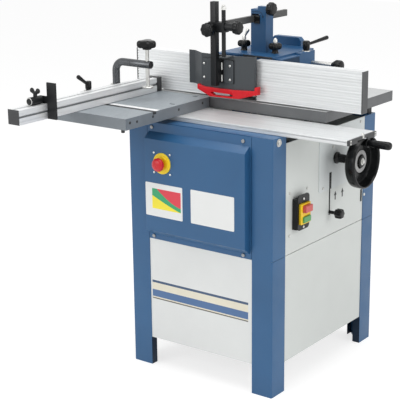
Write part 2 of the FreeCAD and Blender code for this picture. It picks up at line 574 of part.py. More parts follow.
# Cross-cut table: a casting on the beam, hollow under its front part, with a mitre slot on top
CROSS_SKIRT = 9.0
CROSS_SKIN = 14.0
SLOT_Y = -370.5
SLOT_X0 = -322.0
CROSS_SLOT_W = 17.0
CROSS_SLOT_D = 9.0
PIVOT_X = -362.0
PIVOT_Y = -245.0
PIVOT_R = 6.0
PIVOT_D = 10.0
OVALS = [(-138.0, -251.0), (-154.0, -112.0)]
OVAL_R = 4.5
OVAL_HALF = 6.0
OVAL_D = 12.0
cross = box(CROSS_X0, CROSS_X1, CROSS_FRONT, CROSS_BACK, BEAM_TOP, TABLE_TOP)
cross_mid = (CROSS_X0 + CROSS_X1) / 2
for x0, x1 in ((CROSS_X0 + CROSS_SKIRT, cross_mid - CROSS_SKIRT / 2),
               (cross_mid + CROSS_SKIRT / 2, CROSS_X1 - CROSS_SKIRT)):
    cross = cross.cut(box(x0, x1, CROSS_FRONT + CROSS_SKIRT, BEAM_FRONT - CROSS_SKIRT,
                          BEAM_TOP, TABLE_TOP - CROSS_SKIN))
cross = cross.cut(box(SLOT_X0, CROSS_X1, SLOT_Y - CROSS_SLOT_W / 2, SLOT_Y + CROSS_SLOT_W / 2,
                      TABLE_TOP - CROSS_SLOT_D, TABLE_TOP))
for ox, oy in OVALS:
    for piece in (box(ox - OVAL_HALF, ox + OVAL_HALF, oy - OVAL_R, oy + OVAL_R, TABLE_TOP - OVAL_D, TABLE_TOP),
                  rod("z", OVAL_R, TABLE_TOP - OVAL_D, TABLE_TOP, ox - OVAL_HALF, oy),
                  rod("z", OVAL_R, TABLE_TOP - OVAL_D, TABLE_TOP, ox + OVAL_HALF, oy)):
        cross = cross.cut(piece)
cross = cross.cut(rod("z", PIVOT_R + RUN_FIT, TABLE_TOP - PIVOT_D - SEAM, TABLE_TOP, PIVOT_X, PIVOT_Y))
save("cross_cut_table", cross)

# Mitre bracket: the swivel block beside the fence profile, with its pivot pin in the table
MITRE_X0 = -344.0
MITRE_X1 = -301.0
MITRE_LOW = TABLE_TOP + 1.0
MITRE_TOP = MITRE_LOW + 44.0
MITRE_FRONT = -745.0
MITRE_BACK = -96.0
BRACKET_X0 = -380.0
BRACKET_Y0 = -400.0
BRACKET_Y1 = -225.0
BRACKET_TOP = TABLE_TOP + 37.0
STEM_X = -365.0
CLAMP_Y = -378.0
CLAMP_STUD_R = 4.0
CLAMP_STUD_D = 20.0
bracket = fused(box(BRACKET_X0, MITRE_X0, BRACKET_Y0, BRACKET_Y1, TABLE_TOP, BRACKET_TOP),
                rod("z", PIVOT_R, TABLE_TOP - PIVOT_D, TABLE_TOP, PIVOT_X, PIVOT_Y))
bracket = bracket.cut(rod("z", CLAMP_STUD_R + RUN_FIT, BRACKET_TOP - CLAMP_STUD_D - SEAM, BRACKET_TOP,
                          STEM_X, CLAMP_Y))
save("mitre_bracket", bracket)

# Mitre fence: an aluminium profile with a T-slot on top, a hollow core and a groove in its right face
TSLOT_W = 8.0
TSLOT_D = 5.0
TSLOT_IN_W = 16.0
TSLOT_IN_D = 7.0
CORE_WALL = 8.0
RIGHT_GROOVE = 2.5
GROOVE_UP = 20.0
GROOVE_W = 9.0
mitre_mid = (MITRE_X0 + MITRE_X1) / 2
fence = box(MITRE_X0, MITRE_X1, MITRE_FRONT, MITRE_BACK, MITRE_LOW, MITRE_TOP)
fence = fence.cut(box(mitre_mid - TSLOT_W / 2, mitre_mid + TSLOT_W / 2, MITRE_FRONT, MITRE_BACK,
                      MITRE_TOP - TSLOT_D, MITRE_TOP))
tslot_floor = MITRE_TOP - TSLOT_D - TSLOT_IN_D
fence = fence.cut(box(mitre_mid - TSLOT_IN_W / 2, mitre_mid + TSLOT_IN_W / 2, MITRE_FRONT, MITRE_BACK,
                      tslot_floor, MITRE_TOP - TSLOT_D))
fence = fence.cut(box(MITRE_X0 + CORE_WALL, MITRE_X1 - CORE_WALL, MITRE_FRONT, MITRE_BACK,
                      MITRE_LOW + 5.0, tslot_floor - 5.0))
fence = fence.cut(box(MITRE_X1 - RIGHT_GROOVE, MITRE_X1, MITRE_FRONT, MITRE_BACK,
                      MITRE_LOW + GROOVE_UP, MITRE_LOW + GROOVE_UP + GROOVE_W))
save("mitre_fence", fence)


def bar(p0, p1, r):
    """A round bar between two points."""
    along = V(*p1) - V(*p0)
    return Part.makeCylinder(r, along.Length, V(*p0), along)


LEVER_FOOT = 7.0


def clamp_lever(x, y, z, hub_r, hub_h, tip, stud_d, stud_r):
    """A ratchet lever: a hub with a stud below it and a slim arm that rises to its tip."""
    hub = turned("z", [(z, hub_r - 2.0), (z + LEVER_FOOT, hub_r - 2.0), (z + LEVER_FOOT, hub_r),
                       (z + hub_h - 2.0, hub_r), (z + hub_h, hub_r - 2.0)], x, y)
    arm_start = (x, y, z + hub_h * 0.6)
    return fused(hub, rod("z", stud_r, z - stud_d, z, x, y), bar(arm_start, tip, 6.0),
                 Part.makeSphere(7.0, V(*tip)))


mitre_tip = (STEM_X, CLAMP_Y - 43.0, BRACKET_TOP + 49.0)
save("mitre_lever", clamp_lever(STEM_X, CLAMP_Y, BRACKET_TOP, 10.0, 31.0, mitre_tip,
                                CLAMP_STUD_D, CLAMP_STUD_R))

# Flip stop: a round clamp with a wing screw whose foot slides in the T-slot, and a plate that flips up
CLAMP_R = 12.0
STOP_Y0 = -680.0
STOP_Y1 = -632.0
WING_Y = -654.0
FLIP_T = 5.0
FLIP_PIN_R = 5.0
clamp_z = MITRE_TOP + CLAMP_R
foot_half = TSLOT_W / 2 - SLIDE_GAP
stop = fused(rod("y", CLAMP_R, STOP_Y0, STOP_Y1, mitre_mid, clamp_z),
             box(mitre_mid - foot_half, mitre_mid + foot_half, STOP_Y0 + 6.0, STOP_Y1 - 6.0,
                 tslot_floor + 1.0, clamp_z),
             rod("z", 6.0, clamp_z, clamp_z + 24.0, mitre_mid, WING_Y),
             box(mitre_mid - 22.0, mitre_mid + 22.0, WING_Y - 3.0, WING_Y + 3.0,
                 clamp_z + 18.0, clamp_z + 38.0),
             rod("y", FLIP_PIN_R, STOP_Y1, STOP_Y1 + FLIP_T + 3.0, mitre_mid, clamp_z))
save("flip_stop_clamp", stop)
flip = fused(box(MITRE_X1 + 3.0, MITRE_X1 + 38.0, STOP_Y1, STOP_Y1 + FLIP_T, MITRE_LOW + 1.0, clamp_z + 52.0),
             box(mitre_mid, MITRE_X1 + 3.0, STOP_Y1, STOP_Y1 + FLIP_T, clamp_z - 11.0, clamp_z + 11.0),
             rod("y", 11.0, STOP_Y1, STOP_Y1 + FLIP_T, mitre_mid, clamp_z))
save("flip_stop_plate", flip.cut(rod("y", FLIP_PIN_R + RUN_FIT, STOP_Y1, STOP_Y1 + FLIP_T, mitre_mid, clamp_z)))

# Hold-down: a bent tube from the bracket, open at its end and drilled for the pressing screw
TUBE_R = 12.0
BEND_R = 30.0
TUBE_RISE = 75.0
TUBE_Z = BRACKET_TOP + TUBE_RISE
HOLD_X = -237.0
TUBE_END = HOLD_X + 15.0
TUBE_BORE_R = 9.0
TUBE_BORE_D = 6.0
PRESS_R = 6.0
corner = BEND_R * (1 - math.sqrt(0.5))
leg_end = V(STEM_X, PIVOT_Y, TUBE_Z - BEND_R)
arm_start = V(STEM_X + BEND_R, PIVOT_Y, TUBE_Z)
bend = Part.Arc(leg_end, V(STEM_X + corner, PIVOT_Y, TUBE_Z - corner), arm_start).toShape()
path = Part.Wire([Part.makeLine(V(STEM_X, PIVOT_Y, BRACKET_TOP), leg_end), bend,
                  Part.makeLine(arm_start, V(TUBE_END, PIVOT_Y, TUBE_Z))])
ring = Part.Wire([Part.makeCircle(TUBE_R, V(STEM_X, PIVOT_Y, BRACKET_TOP), V(0, 0, 1))])
tube = path.makePipeShell([ring], True, False)
tube = tube.cut(rod("z", PRESS_R + RUN_FIT, TUBE_Z - TUBE_R, TUBE_Z + TUBE_R, HOLD_X, PIVOT_Y))
tube = tube.cut(rod("x", TUBE_BORE_R, TUBE_END - TUBE_BORE_D, TUBE_END, PIVOT_Y, TUBE_Z))
save("hold_down_tube", tube)
PAD_LOW = TABLE_TOP + 38.0
PAD_H = 6.0
HOLD_KNOB_R = 33.0
KNOB_LOW = TUBE_Z + 47.0
KNOB_TOP = KNOB_LOW + 29.0
save("hold_down_screw", fused(rod("z", 18.0, PAD_LOW, PAD_LOW + PAD_H, HOLD_X, PIVOT_Y),
                              rod("z", PRESS_R, PAD_LOW, KNOB_LOW, HOLD_X, PIVOT_Y)))
save("hold_down_knob", fused(lobed("z", HOLD_KNOB_R, KNOB_LOW + 6.0, KNOB_TOP, HOLD_X, PIVOT_Y, 3, 0.38),
                             rod("z", 14.0, KNOB_LOW, KNOB_TOP, HOLD_X, PIVOT_Y)))

# Fence hood: a welded box over the spindle with a top plate, front wings for the fence plates
# and a rear duct that ends in the dust port
HOOD_HALF_W = 125.0
HOOD_FRONT = -40.0
HOOD_STEP_Y = 155.0
HOOD_BACK = 180.0
HOOD_WALL = 5.0
HOOD_LID_T = 6.0
LID_HALF_W = 105.0
LID_CORNER = 18.0
WING_HALF_W = 230.0
WING_TOP = HOOD_TOP - 13.0
CUTTER_HALF_W = 75.0
CUTTER_TOP = HOOD_TOP - 28.0
DUCT_HALF_W = 56.0
DUCT_BACK = 202.0
DUCT_TOP = HOOD_TOP + 29.0
DUCT_ROUND = 10.0
PORT_R = 50.0
PORT_T = 3.0
PORT_X = -4.0
PORT_Z = HOOD_TOP - 80.0
PORT_L = 50.0
hood_low = TABLE_TOP
shoulder = HOOD_TOP - HOOD_LID_T
FENCE_BACK = FENCE_FRONT + FENCE_T
lid = prism("z", [(-LID_HALF_W, HOOD_BACK), (-LID_HALF_W, HOOD_FRONT + LID_CORNER),
                  (-LID_HALF_W + LID_CORNER, HOOD_FRONT - 3.0), (LID_HALF_W - LID_CORNER / 4, HOOD_FRONT - 3.0),
                  (LID_HALF_W, HOOD_FRONT + 4.0), (LID_HALF_W, HOOD_BACK)], shoulder, HOOD_TOP)


def duct(inset, y0, y1):
    """The rear duct: a box with its upper corners taken off."""
    w = DUCT_HALF_W - inset
    top = DUCT_TOP - inset
    points = [(-w, hood_low + 6.0 + inset), (w, hood_low + 6.0 + inset), (w, top - DUCT_ROUND),
              (w - DUCT_ROUND, top), (-w + DUCT_ROUND, top), (-w, top - DUCT_ROUND)]
    return prism("y", points, y0, y1)


hood = fused(box(-HOOD_HALF_W, HOOD_HALF_W, HOOD_FRONT, HOOD_STEP_Y, hood_low, shoulder),
             box(-LID_HALF_W, LID_HALF_W, HOOD_FRONT, HOOD_BACK, hood_low, shoulder), lid,
             box(-WING_HALF_W, WING_HALF_W, FENCE_BACK, HOOD_FRONT, hood_low, WING_TOP),
             duct(0.0, HOOD_BACK, DUCT_BACK), rod("y", PORT_R, DUCT_BACK, DUCT_BACK + PORT_L, PORT_X, PORT_Z))
inside = box(-HOOD_HALF_W + HOOD_WALL, HOOD_HALF_W - HOOD_WALL, HOOD_FRONT + HOOD_WALL, HOOD_STEP_Y - HOOD_WALL,
             hood_low, shoulder - HOOD_WALL)
inside_back = box(-LID_HALF_W + HOOD_WALL, LID_HALF_W - HOOD_WALL,
                  HOOD_FRONT + HOOD_WALL, HOOD_BACK - HOOD_WALL, hood_low, shoulder - HOOD_WALL)
passage = box(-DUCT_HALF_W + PORT_T, DUCT_HALF_W - PORT_T, HOOD_STEP_Y, HOOD_BACK + PORT_T + SEAM,
              hood_low + 6.0 + PORT_T, shoulder - 2 * HOOD_WALL)
cutter_gap = box(-CUTTER_HALF_W, CUTTER_HALF_W, FENCE_BACK, HOOD_FRONT + HOOD_WALL, hood_low, CUTTER_TOP)
hood = hood.cut(inside).cut(inside_back).cut(passage).cut(cutter_gap)
hood = hood.cut(duct(PORT_T, HOOD_BACK + PORT_T, DUCT_BACK - PORT_T))
hood = hood.cut(rod("y", PORT_R - PORT_T, DUCT_BACK - PORT_T, DUCT_BACK + PORT_L, PORT_X, PORT_Z))
STAR_X = 59.0
STAR_Y = 25.0
STAR_STUD_R = 5.0
STAR_STUD_D = 12.0
for s in (-1, 1):
    hood = hood.cut(rod("z", STAR_STUD_R + RUN_FIT, shoulder - HOOD_WALL, HOOD_TOP, s * STAR_X, STAR_Y))
LEVER_X = 115.0
LEVER_Y = 119.0
LEVER_STUD_R = 3.0
LEVER_STUD_D = 20.0
RAIL_H = 5.0
lever_low = shoulder + RAIL_H
hood = fused(hood, box(LID_HALF_W + SEAM, HOOD_HALF_W, 68.0, HOOD_STEP_Y, shoulder, lever_low))
hood = hood.cut(rod("z", LEVER_STUD_R + RUN_FIT, shoulder - HOOD_WALL, lever_low, LEVER_X, LEVER_Y))
FINE_Y = 140.0
FINE_Z = HOOD_TOP - 41.0
FINE_R = 8.0
fine_in = HOOD_HALF_W - HOOD_WALL - 6.0
hood = hood.cut(rod("x", FINE_R + RUN_FIT, fine_in, HOOD_HALF_W, FINE_Y, FINE_Z))
save("fence_hood", hood)

# Clamp pieces of the hood: two star knobs, a ratchet lever and the fine-adjust knob
for name, s in (("star_knob_left", -1), ("star_knob_right", 1)):
    sx = s * STAR_X
    save(name, fused(rod("z", STAR_STUD_R, HOOD_TOP - STAR_STUD_D, HOOD_TOP, sx, STAR_Y),
                     turned("z", [(HOOD_TOP, 9.0), (HOOD_TOP + 12.0, 9.0)], sx, STAR_Y),
                     lobed("z", 23.0, HOOD_TOP + 11.0, HOOD_TOP + 31.0, sx, STAR_Y, 4, 0.3),
                     turned("z", [(HOOD_TOP + 31.0, 5.0), (HOOD_TOP + 36.0, 5.0), (HOOD_TOP + 36.0, 7.0),
                                  (HOOD_TOP + 44.0, 6.0), (HOOD_TOP + 48.0, 3.0)], sx, STAR_Y)))
fence_tip = (LEVER_X + 12.0, LEVER_Y + 104.0, shoulder + 36.0)
save("fence_lever", clamp_lever(LEVER_X, LEVER_Y, lever_low, 11.5, 33.0, fence_tip, LEVER_STUD_D, LEVER_STUD_R))
FINE_KNOB_X = HOOD_HALF_W + 73.0
FINE_KNOB_R = 18.0
save("fine_adjust_knob", turned("x", [(fine_in, FINE_R), (FINE_KNOB_X, FINE_R), (FINE_KNOB_X + 6.0, 12.0),
                                      (FINE_KNOB_X + 12.0, 16.0), (FINE_KNOB_X + 16.0, FINE_KNOB_R),
                                      (FINE_KNOB_X + 28.0, FINE_KNOB_R), (FINE_KNOB_X + 34.0, 16.5),
                                      (FINE_KNOB_X + 38.0, 12.0)], FINE_Y, FINE_Z))

# Fence plates: ribbed aluminium profiles with two hollow cores
FENCE_RIBS = 14
RIB_D = 1.5
RIB_FILL = 0.45
FENCE_WALL = 5.0
rib_pitch = (FENCE_TOP - FENCE_LOW - 6.0) / FENCE_RIBS
for name, x0, x1 in (("fence_plate_left", -414.0, -38.0), ("fence_plate_right", 57.0, 433.0)):
    plate = box(x0, x1, FENCE_FRONT, FENCE_BACK, FENCE_LOW, FENCE_TOP)
    for k in range(FENCE_RIBS):
        z0 = FENCE_LOW + 3.0 + k * rib_pitch
        plate = plate.cut(box(x0, x1, FENCE_FRONT, FENCE_FRONT + RIB_D, z0, z0 + rib_pitch * RIB_FILL))
    fence_mid = (FENCE_LOW + FENCE_TOP) / 2
    cores = ((FENCE_LOW + FENCE_WALL, fence_mid - FENCE_WALL), (fence_mid + FENCE_WALL, FENCE_TOP - FENCE_WALL))
    for z0, z1 in cores:
        plate = plate.cut(box(x0, x1, FENCE_FRONT + FENCE_WALL, FENCE_BACK - FENCE_WALL, z0, z1))
    save(name, plate)

# Guard column: a square tube on the hood with a window for the arm and a clamp pad beside it
COL_HALF_W = 28.0
COL_Y0 = 18.0
COL_Y1 = 60.0
COL_TOP = HOOD_TOP + 133.0
COL_WALL = 2.0
ARM_X0 = -25.5
ARM_X1 = -13.5
ARM_LOW = COL_TOP - 41.0
ARM_TOP = ARM_LOW + 21.0
WINDOW_AIR = 6.0
PAD_X1 = 4.0
KNOB_Y = COL_Y0 + 9.0
KNOB_Z = COL_TOP + 3.0
COL_LUG_TOP = COL_TOP + 10.0
column = box(-COL_HALF_W, COL_HALF_W, COL_Y0, COL_Y1, HOOD_TOP, COL_TOP)
column = column.cut(box(-COL_HALF_W + COL_WALL, COL_HALF_W - COL_WALL, COL_Y0 + COL_WALL, COL_Y1 - COL_WALL,
                        HOOD_TOP + COL_WALL, COL_TOP - COL_WALL))
column = column.cut(box(ARM_X0 - SLIDE_GAP, PAD_X1, COL_Y0, COL_Y1, ARM_LOW - SLIDE_GAP, ARM_TOP + WINDOW_AIR))
pad = box(ARM_X1 + SLIDE_GAP, PAD_X1 + COL_WALL, COL_Y0 - 3.0, COL_Y1 + 3.0, ARM_LOW - 3.0, ARM_TOP + 1.0)
shelf = box(ARM_X0 - SLIDE_GAP, ARM_X1 + SEAM, COL_Y0, COL_Y1, ARM_LOW - 3.0, ARM_LOW - SLIDE_GAP)
knob_lug = box(-COL_WALL, COL_HALF_W, COL_Y0, 2 * KNOB_Y - COL_Y0, COL_TOP, COL_LUG_TOP)
column = fused(column, pad, shelf, knob_lug)
COL_STUD_R = 4.0
COL_STUD_D = 8.0
column = column.cut(rod("x", COL_STUD_R + RUN_FIT, COL_HALF_W - COL_STUD_D - SEAM, COL_HALF_W, KNOB_Y, KNOB_Z))
save("guard_column", column)
save("column_knob", fused(rod("x", COL_STUD_R, COL_HALF_W - COL_STUD_D, COL_HALF_W, KNOB_Y, KNOB_Z),
                          rod("x", 9.0, COL_HALF_W, COL_HALF_W + 5.0, KNOB_Y, KNOB_Z),
                          lobed("x", 21.0, COL_HALF_W + 4.0, COL_HALF_W + 26.0, KNOB_Y, KNOB_Z)))

# Guard arm and head: a flat bar through the column, and the clamp block on its front end
HEAD_X0 = -64.0
HEAD_X1 = -6.0
HEAD_Y0 = -160.0
HEAD_Y1 = -132.0
HEAD_LOW = ARM_LOW - 12.0
HEAD_TOP = HEAD_LOW + 30.0
ARM_BACK = 207.0
BAR_X = -50.0
BAR_Y = -146.0
BAR_HALF = 10.0
ROD_X = -16.0
ROD_R = 6.5
HEAD_BOSS_R = 12.0
HEAD_BOSS_X1 = 24.0
HEAD_Z = HEAD_LOW + 17.0
save("guard_arm", box(ARM_X0, ARM_X1, HEAD_Y1, ARM_BACK, ARM_LOW, ARM_TOP))
bar_hole = BAR_HALF + SLIDE_GAP
head = fused(box(HEAD_X0, HEAD_X1, HEAD_Y0, HEAD_Y1, HEAD_LOW, HEAD_TOP),
             rod("x", HEAD_BOSS_R, HEAD_X1, HEAD_BOSS_X1, BAR_Y, HEAD_Z))
head = head.cut(box(BAR_X - bar_hole, BAR_X + bar_hole, BAR_Y - bar_hole, BAR_Y + bar_hole, HEAD_LOW, HEAD_TOP))
head = head.cut(rod("z", ROD_R + RUN_FIT, HEAD_LOW, HEAD_TOP, ROD_X, BAR_Y))
HEAD_STUD_R = 4.0
HEAD_STUD_D = 18.0
BAR_KNOB_Z = HEAD_LOW + 9.0
head = head.cut(rod("x", HEAD_STUD_R + RUN_FIT, HEAD_BOSS_X1 - HEAD_STUD_D - SEAM, HEAD_BOSS_X1, BAR_Y, HEAD_Z))
head = head.cut(rod("y", HEAD_STUD_R + RUN_FIT, HEAD_Y0, BAR_Y - BAR_HALF, BAR_X, BAR_KNOB_Z))
save("guard_head", head)
save("head_knob", fused(rod("x", HEAD_STUD_R, HEAD_BOSS_X1 - HEAD_STUD_D, HEAD_BOSS_X1, BAR_Y, HEAD_Z),
                        lobed("x", 21.0, HEAD_BOSS_X1, HEAD_BOSS_X1 + 22.0, BAR_Y, HEAD_Z)))
save("bar_knob", fused(rod("y", HEAD_STUD_R, HEAD_Y0, HEAD_Y0 + 3.0, BAR_X, BAR_KNOB_Z),
                       rod("y", 9.0, HEAD_Y0 - 12.0, HEAD_Y0, BAR_X, BAR_KNOB_Z),
                       lobed("y", 22.0, HEAD_Y0 - 34.0, HEAD_Y0 - 12.0, BAR_X, BAR_KNOB_Z)))

# Guard bars: the square bar and the round guide rod with its nut, both sliding in the head
GUARD_FRONT = -121.0
GUARD_T = 3.0
GUARD_LOW = TABLE_TOP + 38.0
GUARD_TOP = GUARD_LOW + 105.0
HINGE_LOW = GUARD_LOW + 20.0
HINGE_TOP = GUARD_TOP - 13.0
BAR_LOW = GUARD_LOW + 12.0
BAR_TOP = HEAD_TOP + 61.0
NUT_Z0 = HEAD_TOP + 38.0
NUT_Z1 = NUT_Z0 + 8.0
square = box(BAR_X - BAR_HALF, BAR_X + BAR_HALF, BAR_Y - BAR_HALF, BAR_Y + BAR_HALF, BAR_LOW, BAR_TOP)
guide_rod = turned("z", [(GUARD_TOP, ROD_R), (NUT_Z0, ROD_R), (NUT_Z0, 9.0), (NUT_Z1, 9.0),
                         (NUT_Z1, 5.0), (NUT_Z1 + 6.0, 4.0)], ROD_X, BAR_Y)
save("guard_bars", square, guide_rod)

# Hinge plate: screwed to the guard plate, with a rib that is welded to the square bar
HINGE_T = 4.0
hinge_face = GUARD_FRONT - HINGE_T
save("hinge_plate", fused(box(-111.0, 5.0, hinge_face, GUARD_FRONT, HINGE_LOW, HINGE_TOP),
                          box(BAR_X - BAR_HALF, BAR_X + BAR_HALF, BAR_Y + BAR_HALF, hinge_face,
                              HINGE_LOW, HINGE_TOP)))

# Guard plate: bent sheet with a lug on top that carries the guide rod
BENDS = [(-191.0, -90.0), (-168.0, -90.0), (-120.0, GUARD_FRONT), (5.0, GUARD_FRONT), (68.0, -103.0)]
sheet = prism("z", BENDS + [(x, y + GUARD_T) for x, y in reversed(BENDS)], GUARD_LOW, GUARD_TOP)
lug = box(ROD_X - 14.0, ROD_X + 14.0, BAR_Y - 9.0, GUARD_FRONT + GUARD_T, GUARD_TOP - GUARD_T, GUARD_TOP)
edge_fold = box(BENDS[-1][0] - GUARD_T, BENDS[-1][0], BENDS[-1][1] + 1.0, BENDS[-1][1] + 12.0, GUARD_LOW, GUARD_TOP)
save("guard_plate", fused(sheet, lug, edge_fold))

# Pressure shoe: a bowed plastic runner under the guard plate, slit so that its lower leaf springs
SHOE_START = -132.0
SHOE_END = 81.0
SHOE_MID = GUARD_FRONT + 1.0
SHOE_HALF = 8.0
SHOE_RISE = 14.0
SHOE_DROP = 28.0
SHOE_SIDE = [(SHOE_START, 6.0), (-104.0, 0.0), (72.0, 0.0), (72.0, 12.0), (SHOE_END, SHOE_RISE), (SHOE_END, -11.0), (52.0, -18.0),
             (24.0, -26.0), (-84.0, -SHOE_DROP), (-104.0, -20.0), (SHOE_START, -9.0)]
SHOE_SLIT = [(-82.0, -16.0), (-74.0, -13.0), (-4.0, -14.0), (6.0, -18.0), (-6.0, -22.0), (-70.0, -23.0)]
end_slope = (BENDS[4][1] - BENDS[3][1]) / (BENDS[4][0] - BENDS[3][0])
shoe_path = [(SHOE_START, SHOE_MID), (BENDS[3][0], SHOE_MID),
             (SHOE_END, SHOE_MID + end_slope * (SHOE_END - BENDS[3][0]))]
shoe_plan = prism("z", [(x, y - SHOE_HALF) for x, y in shoe_path] + [(x, y + SHOE_HALF) for x, y in reversed(shoe_path)],
                  GUARD_LOW - SHOE_DROP, GUARD_LOW + SHOE_RISE)
shoe_y0 = SHOE_MID - SHOE_HALF
shoe_y1 = shoe_path[-1][1] + SHOE_HALF
shoe = shoe_plan.common(prism("y", [(x, GUARD_LOW + dz) for x, dz in SHOE_SIDE], shoe_y0, shoe_y1))
shoe_slit = prism("y", [(x, GUARD_LOW + dz) for x, dz in SHOE_SLIT], shoe_y0, shoe_y1)
shoe = shoe.cut(shoe_slit).cut(sheet)
save("pressure_shoe", shoe)
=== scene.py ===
import math
import bpy
import numpy as np
from mathutils import Matrix, Vector


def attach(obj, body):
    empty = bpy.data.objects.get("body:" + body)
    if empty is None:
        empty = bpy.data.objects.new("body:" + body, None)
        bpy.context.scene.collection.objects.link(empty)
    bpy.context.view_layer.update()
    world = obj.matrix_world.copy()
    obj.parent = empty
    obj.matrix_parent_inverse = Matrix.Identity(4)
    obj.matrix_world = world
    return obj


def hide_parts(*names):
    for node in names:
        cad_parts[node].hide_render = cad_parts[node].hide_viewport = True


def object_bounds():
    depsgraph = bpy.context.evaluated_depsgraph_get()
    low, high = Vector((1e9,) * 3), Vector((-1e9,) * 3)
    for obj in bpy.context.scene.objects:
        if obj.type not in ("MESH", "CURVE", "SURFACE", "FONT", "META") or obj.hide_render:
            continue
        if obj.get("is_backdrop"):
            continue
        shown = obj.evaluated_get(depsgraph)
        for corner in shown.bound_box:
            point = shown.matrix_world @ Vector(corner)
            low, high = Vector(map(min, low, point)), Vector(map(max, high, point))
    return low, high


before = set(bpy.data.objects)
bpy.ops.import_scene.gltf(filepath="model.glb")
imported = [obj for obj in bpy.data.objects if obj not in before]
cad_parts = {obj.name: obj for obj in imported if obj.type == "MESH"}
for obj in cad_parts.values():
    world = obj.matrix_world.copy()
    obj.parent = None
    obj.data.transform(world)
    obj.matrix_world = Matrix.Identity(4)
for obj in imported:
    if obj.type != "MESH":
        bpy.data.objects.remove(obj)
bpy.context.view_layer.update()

scene = bpy.context.scene
scene.view_settings.view_transform = "Standard"

# Camera: stands to the right of the front, a little above the table, with a long lens,
# and is turned and shifted so that the machine fills the square picture as photographed
AZIMUTH = math.radians(35.651)
ELEVATION = math.radians(16.199)
ROLL = math.radians(-0.336)
back = Vector((math.sin(AZIMUTH) * math.cos(ELEVATION), -math.cos(AZIMUTH) * math.cos(ELEVATION),
               math.sin(ELEVATION)))
right = Vector((math.cos(AZIMUTH), math.sin(AZIMUTH), 0.0))
upward = back.cross(right)
rolled_right = right * math.cos(ROLL) + upward * math.sin(ROLL)
rolled_up = upward * math.cos(ROLL) - right * math.sin(ROLL)
camera_data = bpy.data.cameras.new("photo_camera")
camera_data.lens = 109.56
camera_data.sensor_width = 36.0
camera_data.shift_x = -0.0633
camera_data.shift_y = 0.0160
CAMERA_PLACE = Vector((2.14109, -3.15026, 1.60126))
camera = bpy.data.objects.new("photo_camera", camera_data)
turn = Matrix((rolled_right, rolled_up, back)).transposed().to_4x4()
camera.matrix_world = Matrix.Translation(CAMERA_PLACE) @ turn
scene.collection.objects.link(camera)
scene.camera = camera

# Studio: a white surround that the camera and shiny metal see at full white, while the
# machine is lit a little softer, by the surround and by three large soft lamps
world = bpy.data.worlds.new("studio")
scene.world = world
world.use_nodes = True
sky = world.node_tree
sky.nodes.clear()
SURROUND_LIGHT = 0.55


def add_node(tree, kind, values, **fields):
    """A new shader node: its own fields are set first, then its inputs, each by a link where the
    value is another node's output and else as a constant."""
    node = tree.nodes.new("ShaderNode" + kind)
    for field, value in fields.items():
        setattr(node, field, value)
    for key, value in values.items():
        if isinstance(value, bpy.types.NodeSocket):
            tree.links.new(value, node.inputs[key])
        else:
            node.inputs[key].default_value = value
    return node


def backdrop_ray(tree):
    """1 for a ray that sees the surround directly, in a reflection or through glass, else 0:
    the largest of the three light path flags."""
    ray = add_node(tree, "LightPath", {}).outputs
    seen = add_node(tree, "Math", {0: ray["Is Camera Ray"], 1: ray["Is Glossy Ray"]}, operation="MAXIMUM")
    return add_node(tree, "Math", {0: seen.outputs[0], 1: ray["Is Transmission Ray"]},
                    operation="MAXIMUM").outputs[0]


level = add_node(sky, "MapRange", {"Value": backdrop_ray(sky), "To Min": SURROUND_LIGHT, "To Max": 1.0})
surround = add_node(sky, "Background", {"Color": (1.0, 1.0, 1.0, 1.0), "Strength": level.outputs[0]})
add_node(sky, "OutputWorld", {"Surface": surround.outputs[0]})


def soft_lamp(name, place, aim, size, power):
    """A square soft lamp that points from its place at a point on the machine."""
    lamp = bpy.data.lights.new(name, "AREA")
    lamp.size = size
    lamp.energy = power
    holder = bpy.data.objects.new(name, lamp)
    holder.location = place
    holder.rotation_euler = (Vector(aim) - Vector(place)).to_track_quat("-Z", "Y").to_euler()
    scene.collection.objects.link(holder)


soft_lamp("overhead_lamp", (0.2, -0.5, 3.6), (0.0, 0.0, 0.8), 2.6, 55.0)
soft_lamp("front_lamp", (-1.3, -3.4, 2.0), (0.0, 0.0, 0.6), 1.8, 34.0)
soft_lamp("side_lamp", (3.4, 0.2, 1.9), (0.0, 0.0, 0.6), 1.8, 34.0)

FLOOR = 9.0
floor_mesh = bpy.data.meshes.new("studio_floor")
floor_mesh.from_pydata([(-FLOOR, -FLOOR, 0), (FLOOR, -FLOOR, 0), (FLOOR, FLOOR, 0), (-FLOOR, FLOOR, 0)],
                       [], [(0, 1, 2, 3)])
floor = bpy.data.objects.new("studio_floor", floor_mesh)
scene.collection.objects.link(floor)
floor_paint = bpy.data.materials.new("studio_white")
floor_paint.use_nodes = True
ground = floor_paint.node_tree
floor_shader = ground.nodes["Principled BSDF"]
floor_shader.inputs["Base Color"].default_value = (0.93, 0.93, 0.93, 1.0)
floor_shader.inputs["Roughness"].default_value = 0.9
shade = add_node(ground, "BsdfDiffuse", {"Color": (0.45, 0.45, 0.45, 1.0)})
glow = add_node(ground, "Emission", {"Strength": 0.72})
shaded_white = add_node(ground, "AddShader", {0: shade.outputs[0], 1: glow.outputs[0]})
choice = add_node(ground, "MixShader", {"Fac": backdrop_ray(ground), 1: floor_shader.outputs[0],
                                        2: shaded_white.outputs[0]})
ground.links.new(choice.outputs[0], ground.nodes["Material Output"].inputs["Surface"])
floor_mesh.materials.append(floor_paint)
floor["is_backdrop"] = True

# Stand legs and cabinet posts: corner angles bent from steel sheet with a rounded outer edge,
# powder coated blue, the lower four with drilled foot plates, the upper four set on top of them


